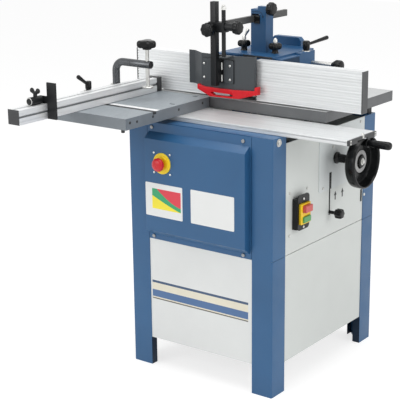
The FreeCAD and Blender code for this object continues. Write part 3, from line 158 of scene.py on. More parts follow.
def loft(rings, endless=False):
    """A skin over a stack of rings: quads join each ring to the next, point by point, all the way
    round. A flat face closes each end or, in an endless stack, the last ring joins the first."""
    rings = np.asarray(rings, dtype=float)
    m, n, _ = rings.shape
    row, col = np.meshgrid(np.arange(m if endless else m - 1), np.arange(n), indexing="ij")
    nxt, up = (col + 1) % n, (row + 1) % m
    quads = np.stack([row * n + col, row * n + nxt, up * n + nxt, up * n + col], -1)
    ends = [] if endless else [list(range(n))[::-1], list(range((m - 1) * n, m * n))]
    return rings.reshape(-1, 3), quads.reshape(-1, 4).tolist() + ends


def drawn(outline, ends, axis):
    """A flat outline drawn along an axis (0 for X, 1 for Y, 2 for Z): the outline stands at each
    end, and the skin joins the two."""
    return loft([np.insert(np.asarray(outline, dtype=float), axis, end, axis=1) for end in ends])


def make_piece(name, shapes, coat, body, nodes=(), crease=40.0):
    """One finished piece: the skins are laid in one mesh, edges sharper than the crease angle
    stay sharp, and the piece is painted, tied to its body and set in place of its CAD nodes."""
    points, faces, start = [], [], 0
    for verts, polys in shapes:
        points.append(np.asarray(verts, dtype=float))
        faces.extend([[i + start for i in poly] for poly in polys])
        start += len(verts)
    mesh = bpy.data.meshes.new(name)
    mesh.from_pydata((np.concatenate(points) / 1000.0).tolist(), [], faces)
    mesh.update()
    mesh.shade_smooth()
    mesh.set_sharp_from_angle(angle=math.radians(crease))
    mesh.materials.append(coat)
    piece = bpy.data.objects.new(name, mesh)
    scene.collection.objects.link(piece)
    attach(piece, body)
    if nodes:
        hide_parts(*nodes)


def arc(cx, cy, r, start, end, steps):
    """Points on a circle from one angle to another, in degrees, ends included."""
    t = np.radians(np.linspace(start, end, steps))
    return np.stack([cx + r * np.cos(t), cy + r * np.sin(t)], -1)


def mottle(tree, scale, detail, stretch=(1.0, 1.0, 1.0), low=0.0, high=1.0):
    """Noise on Object coordinates, stretched along an axis, mapped to a range of values."""
    place = add_node(tree, "TexCoord", {})
    spread = add_node(tree, "Mapping", {"Vector": place.outputs["Object"], "Scale": stretch})
    noise = add_node(tree, "TexNoise", {"Vector": spread.outputs[0], "Scale": scale, "Detail": detail})
    return add_node(tree, "MapRange", {"Value": noise.outputs["Fac"], "From Min": 0.3, "From Max": 0.7,
                                       "To Min": low, "To Max": high}).outputs[0]


def tones(tree, colour, light, deep, *noise):
    """A colour that drifts between a deeper and a lighter tone of itself with a noise."""
    return add_node(tree, "Mix", {"A": (*(c * deep for c in colour), 1.0),
                                  "B": (*(min(1.0, c * light) for c in colour), 1.0),
                                  "Factor": mottle(tree, *noise)}, data_type="RGBA").outputs["Result"]


def coated(name, tone, gloss, relief, metal=0.0, shine=0.5):
    """A new material: tone gives the colour, its lighter and deeper share and the noise between
    them; gloss the bounds of the roughness and their noise; relief a fine bump's strength, depth
    and noise."""
    coat = bpy.data.materials.new(name)
    coat.use_nodes = True
    tree = coat.node_tree
    sockets = tree.nodes["Principled BSDF"].inputs
    sockets["Metallic"].default_value = metal
    sockets["Specular IOR Level"].default_value = shine
    tree.links.new(tones(tree, *tone), sockets["Base Color"])
    low, high, *noise = gloss
    tree.links.new(mottle(tree, *noise, low=low, high=high), sockets["Roughness"])
    strength, depth, *noise = relief
    bump = add_node(tree, "Bump", {"Height": mottle(tree, *noise), "Strength": strength, "Distance": depth})
    tree.links.new(bump.outputs[0], sockets["Normal"])
    return coat


def powder_coat(name, colour, gloss, fleck=0.07, shine=0.5):
    """Sprayed and baked paint: a slow drift of shade over the sheet, fine orange-peel relief
    and a gloss that varies a little from place to place."""
    return coated(name, (colour, 1.0 + fleck, 1.0 - fleck, 5.0, 4.0),
                  (gloss - 0.06, gloss + 0.08, 14.0, 3.0), (0.12, 0.0006, 420.0, 2.0), 0.0, shine)


blue_coat = powder_coat("blue_powder_coat", (0.022, 0.102, 0.236), 0.38)
HALF_W = 269
HALF_D = 304.5
SEAM_Z = 438


def corner_angle(sx, sy, low, high, wide=73.0, deep=71.0, sheet=2.0, bend=4.0):
    """A bent corner angle: an L profile with a round outer and inner bend, drawn up in Z.
    The signs set which corner of the cabinet it stands in."""
    outer = arc(HALF_W - bend, HALF_D - bend, bend, 0, 90, 7)
    inner = arc(HALF_W - bend, HALF_D - bend, bend - sheet, 90, 0, 7)
    profile = np.concatenate([[(HALF_W, HALF_D - deep)], outer, [(HALF_W - wide, HALF_D)],
                              [(HALF_W - wide, HALF_D - sheet)], inner, [(HALF_W - sheet, HALF_D - deep)]])
    profile = profile * (sx, sy)
    return drawn(profile if sx * sy > 0 else profile[::-1], (low, high), 2)


CORNERS = ((-1, -1), (1, -1), (-1, 1), (1, 1))
FRONT_TOP = 810
REAR_TOP = 785


def slab(outline, low, high, edge):
    """A plate cut to a convex outline, its upper and lower rims rounded: each ring is the outline
    drawn in by the rim's quarter circle, from the lower face to the upper. The outline runs
    anticlockwise seen from above."""
    outline = np.asarray(outline, dtype=float)
    ahead = np.roll(outline, -1, 0) - outline
    behind = outline - np.roll(outline, 1, 0)
    n1 = np.stack([ahead[:, 1], -ahead[:, 0]], -1) / np.linalg.norm(ahead, axis=1)[:, None]
    n0 = np.stack([behind[:, 1], -behind[:, 0]], -1) / np.linalg.norm(behind, axis=1)[:, None]
    mitre = (n0 + n1) / (1.0 + np.sum(n0 * n1, axis=1))[:, None]
    t = np.linspace(0.0, math.pi / 2, 3)
    inset, rise = edge * (1 - np.sin(t)), edge * (1 - np.cos(t))
    rims = [(outline - d * mitre, low + h) for d, h in zip(inset, rise)]
    rims += [(outline - d * mitre, high - h) for d, h in zip(inset[::-1], rise[::-1])]
    return loft([np.insert(rim, 2, level, axis=1) for rim, level in rims])


def rounded_box(u0, u1, v0, v1, r, steps=6):
    """A rectangle with round corners, anticlockwise."""
    return np.concatenate([arc(u1 - r, v0 + r, r, -90, 0, steps), arc(u1 - r, v1 - r, r, 0, 90, steps),
                           arc(u0 + r, v1 - r, r, 90, 180, steps), arc(u0 + r, v0 + r, r, 180, 270, steps)])


def block(x0, x1, y0, y1, z0, z1, edge=0.8, corner=0.0):
    """A rectangular slab standing in Z, its upright corners rounded where a radius is given."""
    square = [(x0, y0), (x1, y0), (x1, y1), (x0, y1)]
    return slab(rounded_box(x0, x1, y0, y1, corner) if corner else square, z0, z1, edge)


def corner_block(sx, sy, across, along, low, high, edge=0.8):
    """A block in one corner of the cabinet: its X and Y limits are given for the right rear corner,
    and the signs turn them to another."""
    return block(*sorted(sx * x for x in across), *sorted(sy * y for y in along), low, high, edge)


def drilled_plate(outline, hole, r, low, high, around=40):
    """A flat plate with a round hole: rays from the middle of the hole meet the outline, and the
    four rings, outline below and above, hole above and below, are joined round and round."""
    away = np.asarray(outline, dtype=float) - hole
    away = away[np.argsort(np.arctan2(away[:, 1], away[:, 0]))]
    side = np.roll(away, -1, 0) - away
    out = np.stack([side[:, 1], -side[:, 0]], -1)
    angle = np.sort(np.concatenate([np.linspace(-math.pi, math.pi, around, False),
                                    np.arctan2(away[:, 1], away[:, 0])]))
    ray = np.stack([np.cos(angle), np.sin(angle)], -1)
    reach = np.sum(out * away, axis=1)[None] / np.maximum(ray @ out.T, 1e-9)
    rim = ray * reach.min(axis=1)[:, None] + hole
    bore = ray * r + np.asarray(hole)
    rings = ((rim, low), (rim, high), (bore, high), (bore, low))
    return loft([np.insert(flat, 2, z, axis=1) for flat, z in rings], endless=True)


SEAM_GAP = 0.6
FOOT_X, FOOT_Y, FOOT_THICK = (267, 196), (302.5, 233.5), 6
FOOT_HOLE_X, FOOT_HOLE_Y, FOOT_HOLE_R = 247, 282.5, 6.5
leg_skins = [corner_angle(sx, sy, 0, SEAM_Z - SEAM_GAP) for sx, sy in CORNERS]
for sx, sy in CORNERS:
    (x0, x1), (y0, y1) = FOOT_X, FOOT_Y
    triangle = np.array([(x0, y0), (x1, y0), (x0, y1)]) * (sx, sy)
    hole = (sx * FOOT_HOLE_X, sy * FOOT_HOLE_Y)
    leg_skins.append(drilled_plate(triangle, hole, FOOT_HOLE_R, 0, FOOT_THICK))
make_piece("stand_leg_angles", leg_skins, blue_coat, "cabinet", ("stand_legs",))
LIP = 26
LIP_STEPS = ((0, 94, 0.4), (94, SEAM_Z - SEAM_GAP, 4))
lip_skins = []
for sx, sy in CORNERS:
    for low, high, inset in LIP_STEPS:
        front_lip = (196, 198), (HALF_D - inset, HALF_D - LIP)
        side_lip = (HALF_W - inset, HALF_W - LIP), (233.5, 235.5)
        lip_skins += [corner_block(sx, sy, *lip, low, high, 0.3) for lip in (front_lip, side_lip)]
# Painted shade: the lips are the legs' blue steel, coloured darker here to show the shade inside the stand
lip_painted_shade_coat = powder_coat("lip_painted_shade_blue", (0.007, 0.022, 0.048), 0.55, 0.07, 0.25)
make_piece("leg_return_lips", lip_skins, lip_painted_shade_coat, "cabinet")
POST_TOP = {-1: FRONT_TOP, 1: REAR_TOP}
post_skins = [corner_angle(sx, sy, SEAM_Z + SEAM_GAP, POST_TOP[sy]) for sx, sy in CORNERS]
SEAM_FILL = 0.9
CORNER_PARTS = ((-1, (156, 198), (300.5, 302.5), SEAM_Z, 805, 0.3),
                (-1, (197, 265), (302.6, 304.4), SEAM_Z - SEAM_FILL, SEAM_Z + SEAM_FILL, 0.1),
                (1, (212, 267), (249.5, 302.5), 780, REAR_TOP, 0.8))
post_skins += [corner_block(sx, *part) for part in CORNER_PARTS for sx in (-1, 1)]
make_piece("cabinet_post_angles", post_skins, blue_coat, "cabinet", ("cabinet_posts",))

# Side and rear panels: flat steel sheets behind the posts' flanges, sprayed pale grey; the access
# plate with the bush of the handwheel is screwed on the right one


def dress(coat, *nodes):
    """Paints CAD nodes that keep their own shape."""
    for node in nodes:
        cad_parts[node].data.materials.clear()
        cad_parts[node].data.materials.append(coat)


def soften(width, *nodes):
    """Rounds the sharp edges of CAD nodes by a small radius, in mm: the loose triangles are welded
    and their sharp edges bevelled, with the flat faces kept flat."""
    for node in nodes:
        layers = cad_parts[node].modifiers
        layers.new("join_triangles", "WELD").merge_threshold = 0.00001
        bevel = layers.new("round_edges", "BEVEL")
        bevel.width = width / 1000.0
        bevel.segments = 2
        bevel.limit_method = "ANGLE"
        bevel.angle_limit = math.radians(35.0)
        layers.new("flat_faces", "WEIGHTED_NORMAL").keep_sharp = False


panel_coat = powder_coat("pale_grey_powder_coat", (0.62, 0.645, 0.625), 0.42, 0.03)
dress(panel_coat, "lower_side_panels", "upper_left_panel", "upper_right_panel", "rear_panel")
plate_coat = powder_coat("access_plate_coat", (0.625, 0.66, 0.66), 0.4, 0.03)
SHEET_FACE, PLATE_FACE = 267, 269
plate_yz = np.concatenate([arc(-36, 599, 9, 180, 270, 7),
                           [(16, 590), (16, 644), (30, 644), (30, 590), (232.5, 590), (232.5, 785),
                            (-45, 785)]])
make_piece("access_plate_sheet", [drawn(plate_yz, (SHEET_FACE, PLATE_FACE), 0)], plate_coat, "cabinet",
           ("access_plate",))


def lathe(profile, axis="z", p=0.0, q=0.0, around=48, lobes=0, depth=0.0, first=0.0):
    """A turned form: the radius at each step along the axis is carried round it. Lobes wave the
    radius by a cosine, a share of it deep. For axis x the centre is (y, z), for y (x, z), for z (x, y)."""
    profile = np.asarray(profile, dtype=float)
    t = np.linspace(0.0, 2 * math.pi, around, endpoint=False)
    wave = 1.0 - depth * 0.5 * (1.0 - np.cos(lobes * (t - first)))
    wide = profile[:, 1, None] * wave[None]
    along = np.broadcast_to(profile[:, 0, None], wide.shape)
    c, s = wide * np.cos(t), wide * np.sin(t)
    rings = {"z": (p + c, q + s, along), "x": (along, p + c, q + s), "y": (p + s, along, q + c)}[axis]
    return loft(np.stack(rings, -1))


def turned_steel(name, shade, gloss):
    """Bright machined steel: metal with fine turning marks and a little uneven polish."""
    return coated(name, (shade, 1.06, 0.86, 60.0, 3.0), (gloss - 0.08, gloss + 0.1, 90.0, 2.0),
                  (0.06, 0.0003, 900.0, 2.0), 1.0)


screw_steel = turned_steel("zinc_plated_steel", (0.62, 0.62, 0.6), 0.34)


def steel_trim(name, skins, body, nodes=(), crease=40.0):
    """A piece of plated steel: a screw, a nut, a washer or a turned rod."""
    make_piece(name, skins, screw_steel, body, nodes, crease)


SCREW_HEAD = np.array([(-0.1, 4.6), (1.2, 4.6), (2.4, 4), (2.8, 2.2)])
SIDE_SCREWS = ((SHEET_FACE, ((-111, 623), (-209, 495), (-209, 629))),
               (PLATE_FACE, ((-21, 601), (36, 723), (206, 601), (206, 772), (-21, 772))))
screw_skins = [lathe(SCREW_HEAD + (face, 0), "x", *spot, 16)
               for face, spots in SIDE_SCREWS for spot in spots]
screw_skins += [lathe([(268.9, 12), (270.4, 12), (270.4, 7), (274, 7), (275, 6)], "x", -273, 795, 24),
                lathe([(268.9, 5), (270.6, 5), (271.6, 4.2), (272, 2.4)], "x", 239, 523, 20)]
steel_trim("side_panel_screws", screw_skins, "cabinet", crease=32)
catch_strip = block(266.9, 268.6, 219, 227, 503, 544, 0.4)
catch_black = powder_coat("catch_black", (0.011, 0.012, 0.013), 0.4, shine=0.28)
make_piece("side_catch_strip", [catch_strip], catch_black, "cabinet")

# Lower front panel: a flat steel sheet behind the flanges of the front legs, sprayed pale grey,
# with plain painted stripes across it, cream between two blues
PANEL_PALE = (0.76, 0.775, 0.765)
STRIPE_BLUE = (0.08, 0.165, 0.34)
STRIPE_LINE = (0.055, 0.1, 0.185)
STRIPE_CREAM = (0.79, 0.745, 0.61)
STRIPE_BROWN = (0.13, 0.125, 0.115)
STRIPES = ((0.2295, STRIPE_BROWN), (0.2330, STRIPE_CREAM), (0.2378, STRIPE_BLUE),
           (0.2580, STRIPE_CREAM), (0.2842, STRIPE_LINE), (0.2895, PANEL_PALE))
STRIPE_MIDDLE, STRIPE_HALF = -0.00425, 0.18575


def striped_coat(name, ground, bands):
    """Powder coat with level bands: a ramp with hard steps reads the height on the panel, and a
    comparison of the sideways place with the bands' half length ends them short of the edges."""
    coat = powder_coat(name, ground, 0.42, 0.03)
    tree = coat.node_tree
    place = add_node(tree, "TexCoord", {}).outputs["Object"]
    split = add_node(tree, "SeparateXYZ", {0: place}).outputs
    ramp = add_node(tree, "ValToRGB", {"Fac": split["Z"]})
    steps = ramp.color_ramp
    steps.interpolation = "CONSTANT"
    steps.elements[0].color = (*ground, 1.0)
    steps.elements.remove(steps.elements[1])
    for height, colour in bands:
        steps.elements.new(height).color = (*colour, 1.0)
    within = add_node(tree, "Math", {0: split["X"], 1: STRIPE_MIDDLE, 2: STRIPE_HALF}, operation="COMPARE")
    bands_only = add_node(tree, "Mix", {"A": (*ground, 1.0), "B": ramp.outputs["Color"],
                                        "Factor": within.outputs[0]}, data_type="RGBA")
    drift = tones(tree, (1.0, 1.0, 1.0), 1.0, 0.95, 6.0, 4.0)
    shaded = add_node(tree, "Mix", {"A": bands_only.outputs["Result"], "B": drift, "Factor": 1.0},
                      data_type="RGBA", blend_type="MULTIPLY")
    tree.links.new(shaded.outputs["Result"], tree.nodes["Principled BSDF"].inputs["Base Color"])
    return coat


front_coat = striped_coat("striped_front_coat", PANEL_PALE, STRIPES)
dress(front_coat, "lower_front_panel")

# Front cover: a tray pressed from sheet, its flange bolted between the posts and its face
# standing forward with rounded edges; two printed plates lie on its face


def facing(outlines, forward):
    """Outlines seen from the front, each set at its own distance forward, skinned front to back."""
    return loft([np.insert(outline, 1, -f, axis=1) for outline, f in zip(outlines, forward)])


COVER_X, TRAY_X = 194.4, 188
FACE = 329.5
flange = facing([rounded_box(-COVER_X, COVER_X, 433, 808, 2)] * 2, (302.5, 304.5))
TRAY_ROWS = ((304, 0, 448.6, 780.4), (328.4, 0, 467.2, 762.8), (329.2, 0.3, 468.2, 761.8),
             (FACE, 1, 469.4, 760.6))
tray = facing([rounded_box(-TRAY_X + inset, TRAY_X - inset, low, high, 1.6, 3)
               for _, inset, low, high in TRAY_ROWS], [row[0] for row in TRAY_ROWS])
make_piece("front_cover_tray", [flange, tray], blue_coat, "cabinet", ("front_cover",), 24)
PLATE_TOP = FACE + 0.7


def printed(name, outline, coat, behind, front):
    """A thin plate or printed area that lies on the cover: a flat outline between two distances."""
    skin = facing([outline, outline], (behind, front))
    make_piece(name, [skin], coat, "cabinet", crease=32.0)


plate_white = powder_coat("printed_plate_white", (0.8, 0.81, 0.8), 0.35, 0.02)
for name, plate in (("speed_plate", (-186, -43, 518, 624)), ("setting_plate", (-11, 150, 519, 625))):
    printed(name, rounded_box(*plate, 3), plate_white, FACE - 0.2, PLATE_TOP)
CHART_X, CHART_Z = (-160, -49), (543, 607)
upper_x = np.linspace(-142, CHART_X[1], 16)
upper_line = np.column_stack([upper_x, 557 + 50 * ((CHART_X[1] - upper_x) / 93) ** 1.5])
lower_x = np.linspace(*CHART_X, 16)
lower_line = np.column_stack([lower_x, CHART_Z[0] + 0.4 + 41 * ((CHART_X[1] - lower_x) / 111) ** 1.15])
low_left, low_right, high_left, high_right = [[(x, z)] for z in CHART_Z for x in CHART_X]
CHART = (("chart_fast_area", (0.72, 0.05, 0.075), (high_right, upper_line)),
         ("chart_middle_area", (0.035, 0.37, 0.16), (high_left, lower_line, upper_line[::-1])),
         ("chart_slow_area", (0.93, 0.8, 0.05), (low_left, low_right, lower_line[::-1])))
for name, colour, edges in CHART:
    ink = powder_coat(name + "_ink", colour, 0.4, 0.04)
    printed(name, np.concatenate(edges), ink, PLATE_TOP - 0.1, PLATE_TOP + 0.15)

# Cover bolts: four zinc-plated steel bolts with round heads, through the cover's flange
# into the lips of the posts
dress(turned_steel("cover_bolt_steel", (0.3, 0.31, 0.32), 0.3), "cover_bolts")

# Emergency stop: a yellow moulded disc and a red mushroom button on its stem, with four small
# plated screws round them that hold the switch behind the cover
STOP = np.array([-119, 690])


def moulded(name, colour, gloss, grain=220.0, relief=0.08, shine=0.5):
    """Moulded plastic: an even colour with slight flow marks, a fine grain and a soft shine."""
    return coated(name, (colour, 1.08, 0.92, 18.0, 3.0), (gloss - 0.05, gloss + 0.07, 40.0, 3.0),
                  (relief, 0.0005, grain, 3.0), 0.0, shine)


stop_yellow = moulded("stop_yellow", (0.9, 0.66, 0.012), 0.36)
disc = lathe([(-329.6, 9.3), (-334.4, 9.3), (-334.4, 23.2), (-333.5, 24), (-333.5, 30), (-333.4, 31.4),
              (-332.9, 32.5), (-331.8, 33), (-329.3, 33)], "y", *STOP, 64)
make_piece("estop_disc", [disc], stop_yellow, "cabinet", ("estop_base",), 32)
stop_red = moulded("stop_red", (0.6, 0.008, 0.016), 0.26)
dome = lathe([(-361.5, 2), (-361.3, 7), (-360.4, 12), (-358.4, 16.6), (-355.6, 19.6), (-352.6, 20.9),
              (-350, 21), (-346.5, 20.8), (-343.5, 18), (-341.5, 13), (-341.5, 9), (-335.8, 9)],
             "y", *STOP, 56)
make_piece("estop_mushroom", [dome], stop_red, "estop", ("estop_button",), 32)
STOP_SCREW = [(-332.2, 1.6), (-331.6, 3.2), (-330.2, 3.8), (-329.4, 3.8)]
stop_screws = [lathe(STOP_SCREW, "y", *(STOP + 31 * np.array(corner)), 16) for corner in CORNERS]
steel_trim("estop_screws", stop_screws, "cabinet")

# Switch: a black moulded box screwed on the right side, with a yellow frame on it round the
# red off button and the green on button
switch_black = moulded("switch_black", (0.007, 0.0075, 0.008), 0.34, shine=0.3)
dress(switch_black, "switch_base")
dress(moulded("switch_yellow", (0.86, 0.56, 0.01), 0.4), "switch_cover")
dress(moulded("button_red", (0.56, 0.09, 0.085), 0.32), "off_button")
dress(moulded("button_green", (0.09, 0.33, 0.1), 0.32), "on_button")
soften(1.4, "switch_base")
soften(2.2, "switch_cover")
soften(1.6, "off_button", "on_button")
EAR_SCREW = [(286.9, 4), (288.2, 4), (289.2, 3), (289.4, 1.5)]
ear_screws = [lathe(EAR_SCREW, "x", -162, z, 20) for z in (517, 604.5)]
steel_trim("switch_screws", ear_screws, "cabinet", crease=32)

# Main table: a grey iron casting, painted on its edges and ground bright on top, bolted on four
# short black supports, with two steel rings let into its opening


def cast_and_ground(name, side, top, gloss, metal, along):
    """A casting with a machined upper face: the colour goes from the side's to the top's as the
    surface turns up, and fine grinding lines run along one way."""
    coat = coated(name, (top, 1.06, 0.92, 22.0, 5.0, along), (gloss - 0.07, gloss + 0.1, 60.0, 3.0, along),
                  (0.08, 0.0004, 500.0, 2.0, along), metal)
    tree = coat.node_tree
    base = tree.nodes["Principled BSDF"].inputs["Base Color"]
    normal = add_node(tree, "NewGeometry", {}).outputs["Normal"]
    upright = add_node(tree, "SeparateXYZ", {0: normal}).outputs["Z"]
    share = add_node(tree, "MapRange", {"Value": upright, "From Min": 0.6, "From Max": 0.95})
    sides = tones(tree, side, 1.06, 0.92, 22.0, 5.0)
    faces = add_node(tree, "Mix", {"A": sides, "B": base.links[0].from_socket, "Factor": share.outputs[0]},
                     data_type="RGBA")
    tree.links.new(faces.outputs["Result"], base)
    return coat


table_iron = cast_and_ground("ground_cast_iron", (0.12, 0.125, 0.13), (0.54, 0.55, 0.55), 0.42, 0.2,
                             (1, 14, 14))
dress(table_iron, "main_table")
soften(1.5, "main_table")
dress(turned_steel("ring_steel", (0.55, 0.55, 0.54), 0.36), "table_rings")
black_coat = powder_coat("black_powder_coat", (0.011, 0.012, 0.013), 0.34, shine=0.28)
dress(black_coat, "table_supports")

# Top rail: a steel plate folded at the back, between the front posts, sprayed blue, with the
# guide bar of the carriage welded on it
dress(blue_coat, "front_top_rail")

# Drive inside the cabinet: turned steel columns, spindle and lift screw, an iron quill housing
# and motor in grey primer, and a flat rubber belt; the whole hangs from the table
inner_iron = powder_coat("grey_primer", (0.16, 0.17, 0.17), 0.6)
dress(inner_iron, "quill_housing", "motor")
dress(screw_steel, "lift_columns", "spindle_bearings", "spindle", "motor_pulley", "lift_screw",
      "handwheel_shaft")
dress(moulded("belt_rubber", (0.02, 0.02, 0.021), 0.7, 300, 0.15), "drive_belt")

# Handwheel: a black moulded wheel with a broad rim and a coned web, pinned on the shaft behind a
# plated centre bolt; its handle turns on the crank pin, and a black sleeve covers the bush
knob_black = moulded("knob_black", (0.007, 0.0075, 0.008), 0.2, shine=0.24)


def black_trim(name, skins, body, nodes=()):
    """A piece of glossy black moulding: a wheel, a knob, a lever or a pad."""
    make_piece(name, skins, knob_black, body, nodes)


WHEEL = (57, 684)
CRANK = (60, 744)
wheel = lathe([(344, 18), (344, 40), (344.3, 74), (345.4, 79), (348, 81.6), (351, 82.4), (375, 83),
               (378, 82.2), (379.6, 80.6), (380, 78.8), (379.4, 77), (377, 75.6), (371, 74.6),
               (355, 72.6), (350.8, 70.6), (349.8, 67), (354.4, 38.6), (355, 36.6), (355.6, 36),
               (355.6, 21.6), (354.6, 20.6), (354.6, 19.2), (360.4, 18.2), (362, 16.2), (362, 4)],
              "x", *WHEEL, 96)
hub = lathe([(320, 12), (321, 14.4), (323, 15), (345, 15.6)], "x", *WHEEL)
spacer = lathe([(301, 11), (301, 13), (321, 13.4)], "x", *WHEEL, 36)
boss = lathe([(346, 9), (362, 10.5), (373, 13.6), (379, 14.4), (380.6, 13.4), (381.4, 10), (381.4, 5.2),
              (383, 5)], "x", *CRANK, 32)
black_trim("handwheel_rim", [wheel, hub, spacer, boss], "handwheel_drive", ("handwheel",))
ring_grey = moulded("wheel_ring_grey", (0.3, 0.3, 0.3), 0.4)
face_ring = lathe([(355.2, 35.4), (356, 35.2), (356.4, 34.8), (356.4, 22.8), (356, 22.4), (355.2, 22.2)],
                  "x", *WHEEL, 64)
make_piece("handwheel_face_ring", [face_ring], ring_grey, "handwheel_drive")
centre_bolt = lathe([(361.6, 11), (363, 11), (363.6, 10.4), (363.6, 6.6), (367, 6.6), (368, 5.6),
                     (368, 2)], "x", *WHEEL, 32)
steel_trim("handwheel_centre_bolt", [centre_bolt], "handwheel_drive")
bush_sleeve = lathe([(268.6, 12), (268.6, 18.2), (269.6, 19), (274, 19), (277, 16.4), (280, 14.4),
                     (284, 13.8), (300.2, 13.6), (300.2, 11.5)], "x", *WHEEL, 56)
black_trim("handwheel_bush_sleeve", [bush_sleeve], "cabinet")
handle = lathe([(382.2, 7), (382.2, 9.6), (383.2, 10.4), (386, 11.4), (400, 11.8), (425, 12.4),
                (444, 12.9), (450, 12.7), (454, 11.6), (456.8, 9.4), (458, 6.6), (458, 2)],
               "x", *CRANK, 40)
black_trim("handwheel_grip_skin", [handle], "handwheel_grip", ("handwheel_handle",))

# Height lock: a black moulded knob on the stud of the quill; its collar slides along the slot of
# the side panel, whose shade is painted by two black strips set in it, and two plain arrows are printed
# beside the slot


def round_rim(a0, a1, r, edge, steps=5):
    """The profile of a knob's body between two places on its axis, both rims rounded."""
    t = np.linspace(0.0, math.pi / 2, steps)
    rise = np.column_stack([a0 + edge * (1 - np.cos(t)), r - edge * (1 - np.sin(t))])
    fall = np.column_stack([a1 - edge * (1 - np.cos(t)), r - edge * (1 - np.sin(t))])[::-1]
    return np.concatenate([rise, fall])


LOCK = (23, 515)
lock_knob = lathe(round_rim(291, 316, 16, 5), "x", *LOCK, 72, 6, 0.16)
lock_collar = lathe([(265, 5.4), (286, 5.4), (291.5, 8)], "x", *LOCK, 28)
black_trim("height_lock_grip", [lock_knob, lock_collar], "height_lock", ("height_lock_knob",))
# Painted shade: two black strips fill the slot, the stud passing between them, so that the slot reads as
# dark
slot_shade_black = moulded("slot_painted_shade_black", (0.008, 0.008, 0.009), 0.7, 300, 0.15)
slot_shade_strips = [block(263.9, x1, y0, y1, z0, z1, 0.2) for y0, y1 in ((16.1, 22.9), (23.1, 29.9))
             for x1, z0, z1 in ((266.8, 502.1, 589.9), (268.8, 590.1, 643.9))]
make_piece("slot_painted_shade_strips", slot_shade_strips, slot_shade_black, "cabinet")


def side_mark(outline, face):
    """A mark on a right side: a flat outline in Y and Z, a hair proud of the face."""
    return drawn(outline, (face - 0.1, face + 0.15), 0)


arrow_ink = moulded("arrow_ink", (0.02, 0.021, 0.022), 0.5)
ARROW = np.array([(-3.2, -13), (3.2, -13), (3.2, 2), (8, 2), (0, 16), (-8, 2), (-3.2, 2)])
arrows = [side_mark(ARROW + (y, 560), SHEET_FACE) for y in (58, 102)]
make_piece("lock_arrows", arrows, arrow_ink, "cabinet")

# Carriage: an extruded aluminium plank with fine lines along its top, closed by black end caps
# with plated screws, and a grey cast cross-cut table, machined on top, that is bolted on the plank


def drawn_aluminium(name, colour, gloss, across, metal=0.45):
    """Extruded aluminium: satin metal with die lines that run along the profile; across gives the
    stretch that packs the lines together over the profile."""
    return coated(name, (colour, 1.05, 0.88, 40.0, 3.0, across),
                  (gloss - 0.06, gloss + 0.08, 70.0, 2.0, across), (0.1, 0.0004, 260.0, 2.0, across), metal)


ACROSS_X, ACROSS_Y = (0.05, 6, 6), (6, 0.05, 6)
alu_x = drawn_aluminium("aluminium_along_x", (0.68, 0.695, 0.7), 0.4, ACROSS_X)
alu_y = drawn_aluminium("aluminium_along_y", (0.82, 0.83, 0.835), 0.4, ACROSS_Y)
BEAM_X = 485
BEAM_FRONT, BEAM_BACK = -256, -98
BEAM_LOW, BEAM_TOP = 811, 826


def ribbed_top(y0, y1, count, deep, top):
    """A flat top with narrow grooves across Y: the height is the fourth root of a rectified sine,
    so each rib is nearly flat and falls away sharply at its grooves."""
    y = np.linspace(y1, y0, count * 16 + 1)
    lift = np.abs(np.sin(math.pi * count * (y - y0) / (y1 - y0))) ** 0.25
    return np.column_stack([y, top - deep * (1.0 - lift)])


CHANNEL = [(-207.3, BEAM_LOW), (-207.3, 818), (-146.7, 818), (-146.7, BEAM_LOW)]
EDGE_GROOVE = [(BEAM_FRONT, 822), (BEAM_FRONT + 4, 822), (BEAM_FRONT + 4, 819.6), (BEAM_FRONT, 819.6)]
beam_outline = np.concatenate([[(BEAM_BACK, BEAM_LOW), (BEAM_BACK, BEAM_TOP - 0.6)],
                               ribbed_top(BEAM_FRONT + 2, BEAM_BACK - 0.8, 14, 1.4, BEAM_TOP),
                               [(BEAM_FRONT, BEAM_TOP - 1.2)], EDGE_GROOVE,
                               [(BEAM_FRONT, BEAM_LOW)], CHANNEL])
make_piece("carriage_plank", [drawn(beam_outline, (-BEAM_X, BEAM_X), 0)], alu_x, "carriage",
           ("carriage_beam",), 50)
cap_outline = [(BEAM_BACK, BEAM_LOW), (BEAM_BACK, BEAM_TOP), (BEAM_FRONT, BEAM_TOP), (BEAM_FRONT, BEAM_LOW)]
CAP_END = 491.4
caps = [drawn(cap_outline + CHANNEL, ends, 0) for ends in ((-CAP_END, -BEAM_X), (BEAM_X, CAP_END))]
cap_black = moulded("end_cap_black", (0.03, 0.031, 0.033), 0.45)
make_piece("carriage_caps", caps, cap_black, "carriage", ("carriage_end_caps",), 30)
CAP_SCREW = np.array([(491.2, 3), (492.4, 3), (493, 2.2)])
CAP_SCREWS = [(y, z) for y in (-246, -106) for z in (815, 822.5)]
cap_screws = [lathe(CAP_SCREW, "x", y, z, 16) for y, z in CAP_SCREWS]
cap_screws += [lathe(CAP_SCREW[::-1] * (-1, 1), "x", y, z, 16) for y, z in CAP_SCREWS]
stop_tab = block(486, 493, -179, -171, 818.5, 834, 0.8, 1.4)
steel_trim("carriage_cap_screws", cap_screws + [stop_tab], "carriage")
cross_grey = cast_and_ground("cross_table_grey", (0.19, 0.212, 0.232), (0.31, 0.345, 0.372), 0.38, 0.2,
                             (14, 1, 14))
dress(cross_grey, "cross_cut_table")
soften(2, "cross_cut_table")
# Painted shade: a black block fills the mitre slot, standing for the shade on the slot's floor
slot_shade_block = block(-321.6, -111.4, -378.7, -362.3, 851.1, 858.8, 0.2)
make_piece("mitre_slot_painted_shade", [slot_shade_block], cap_black, "carriage")
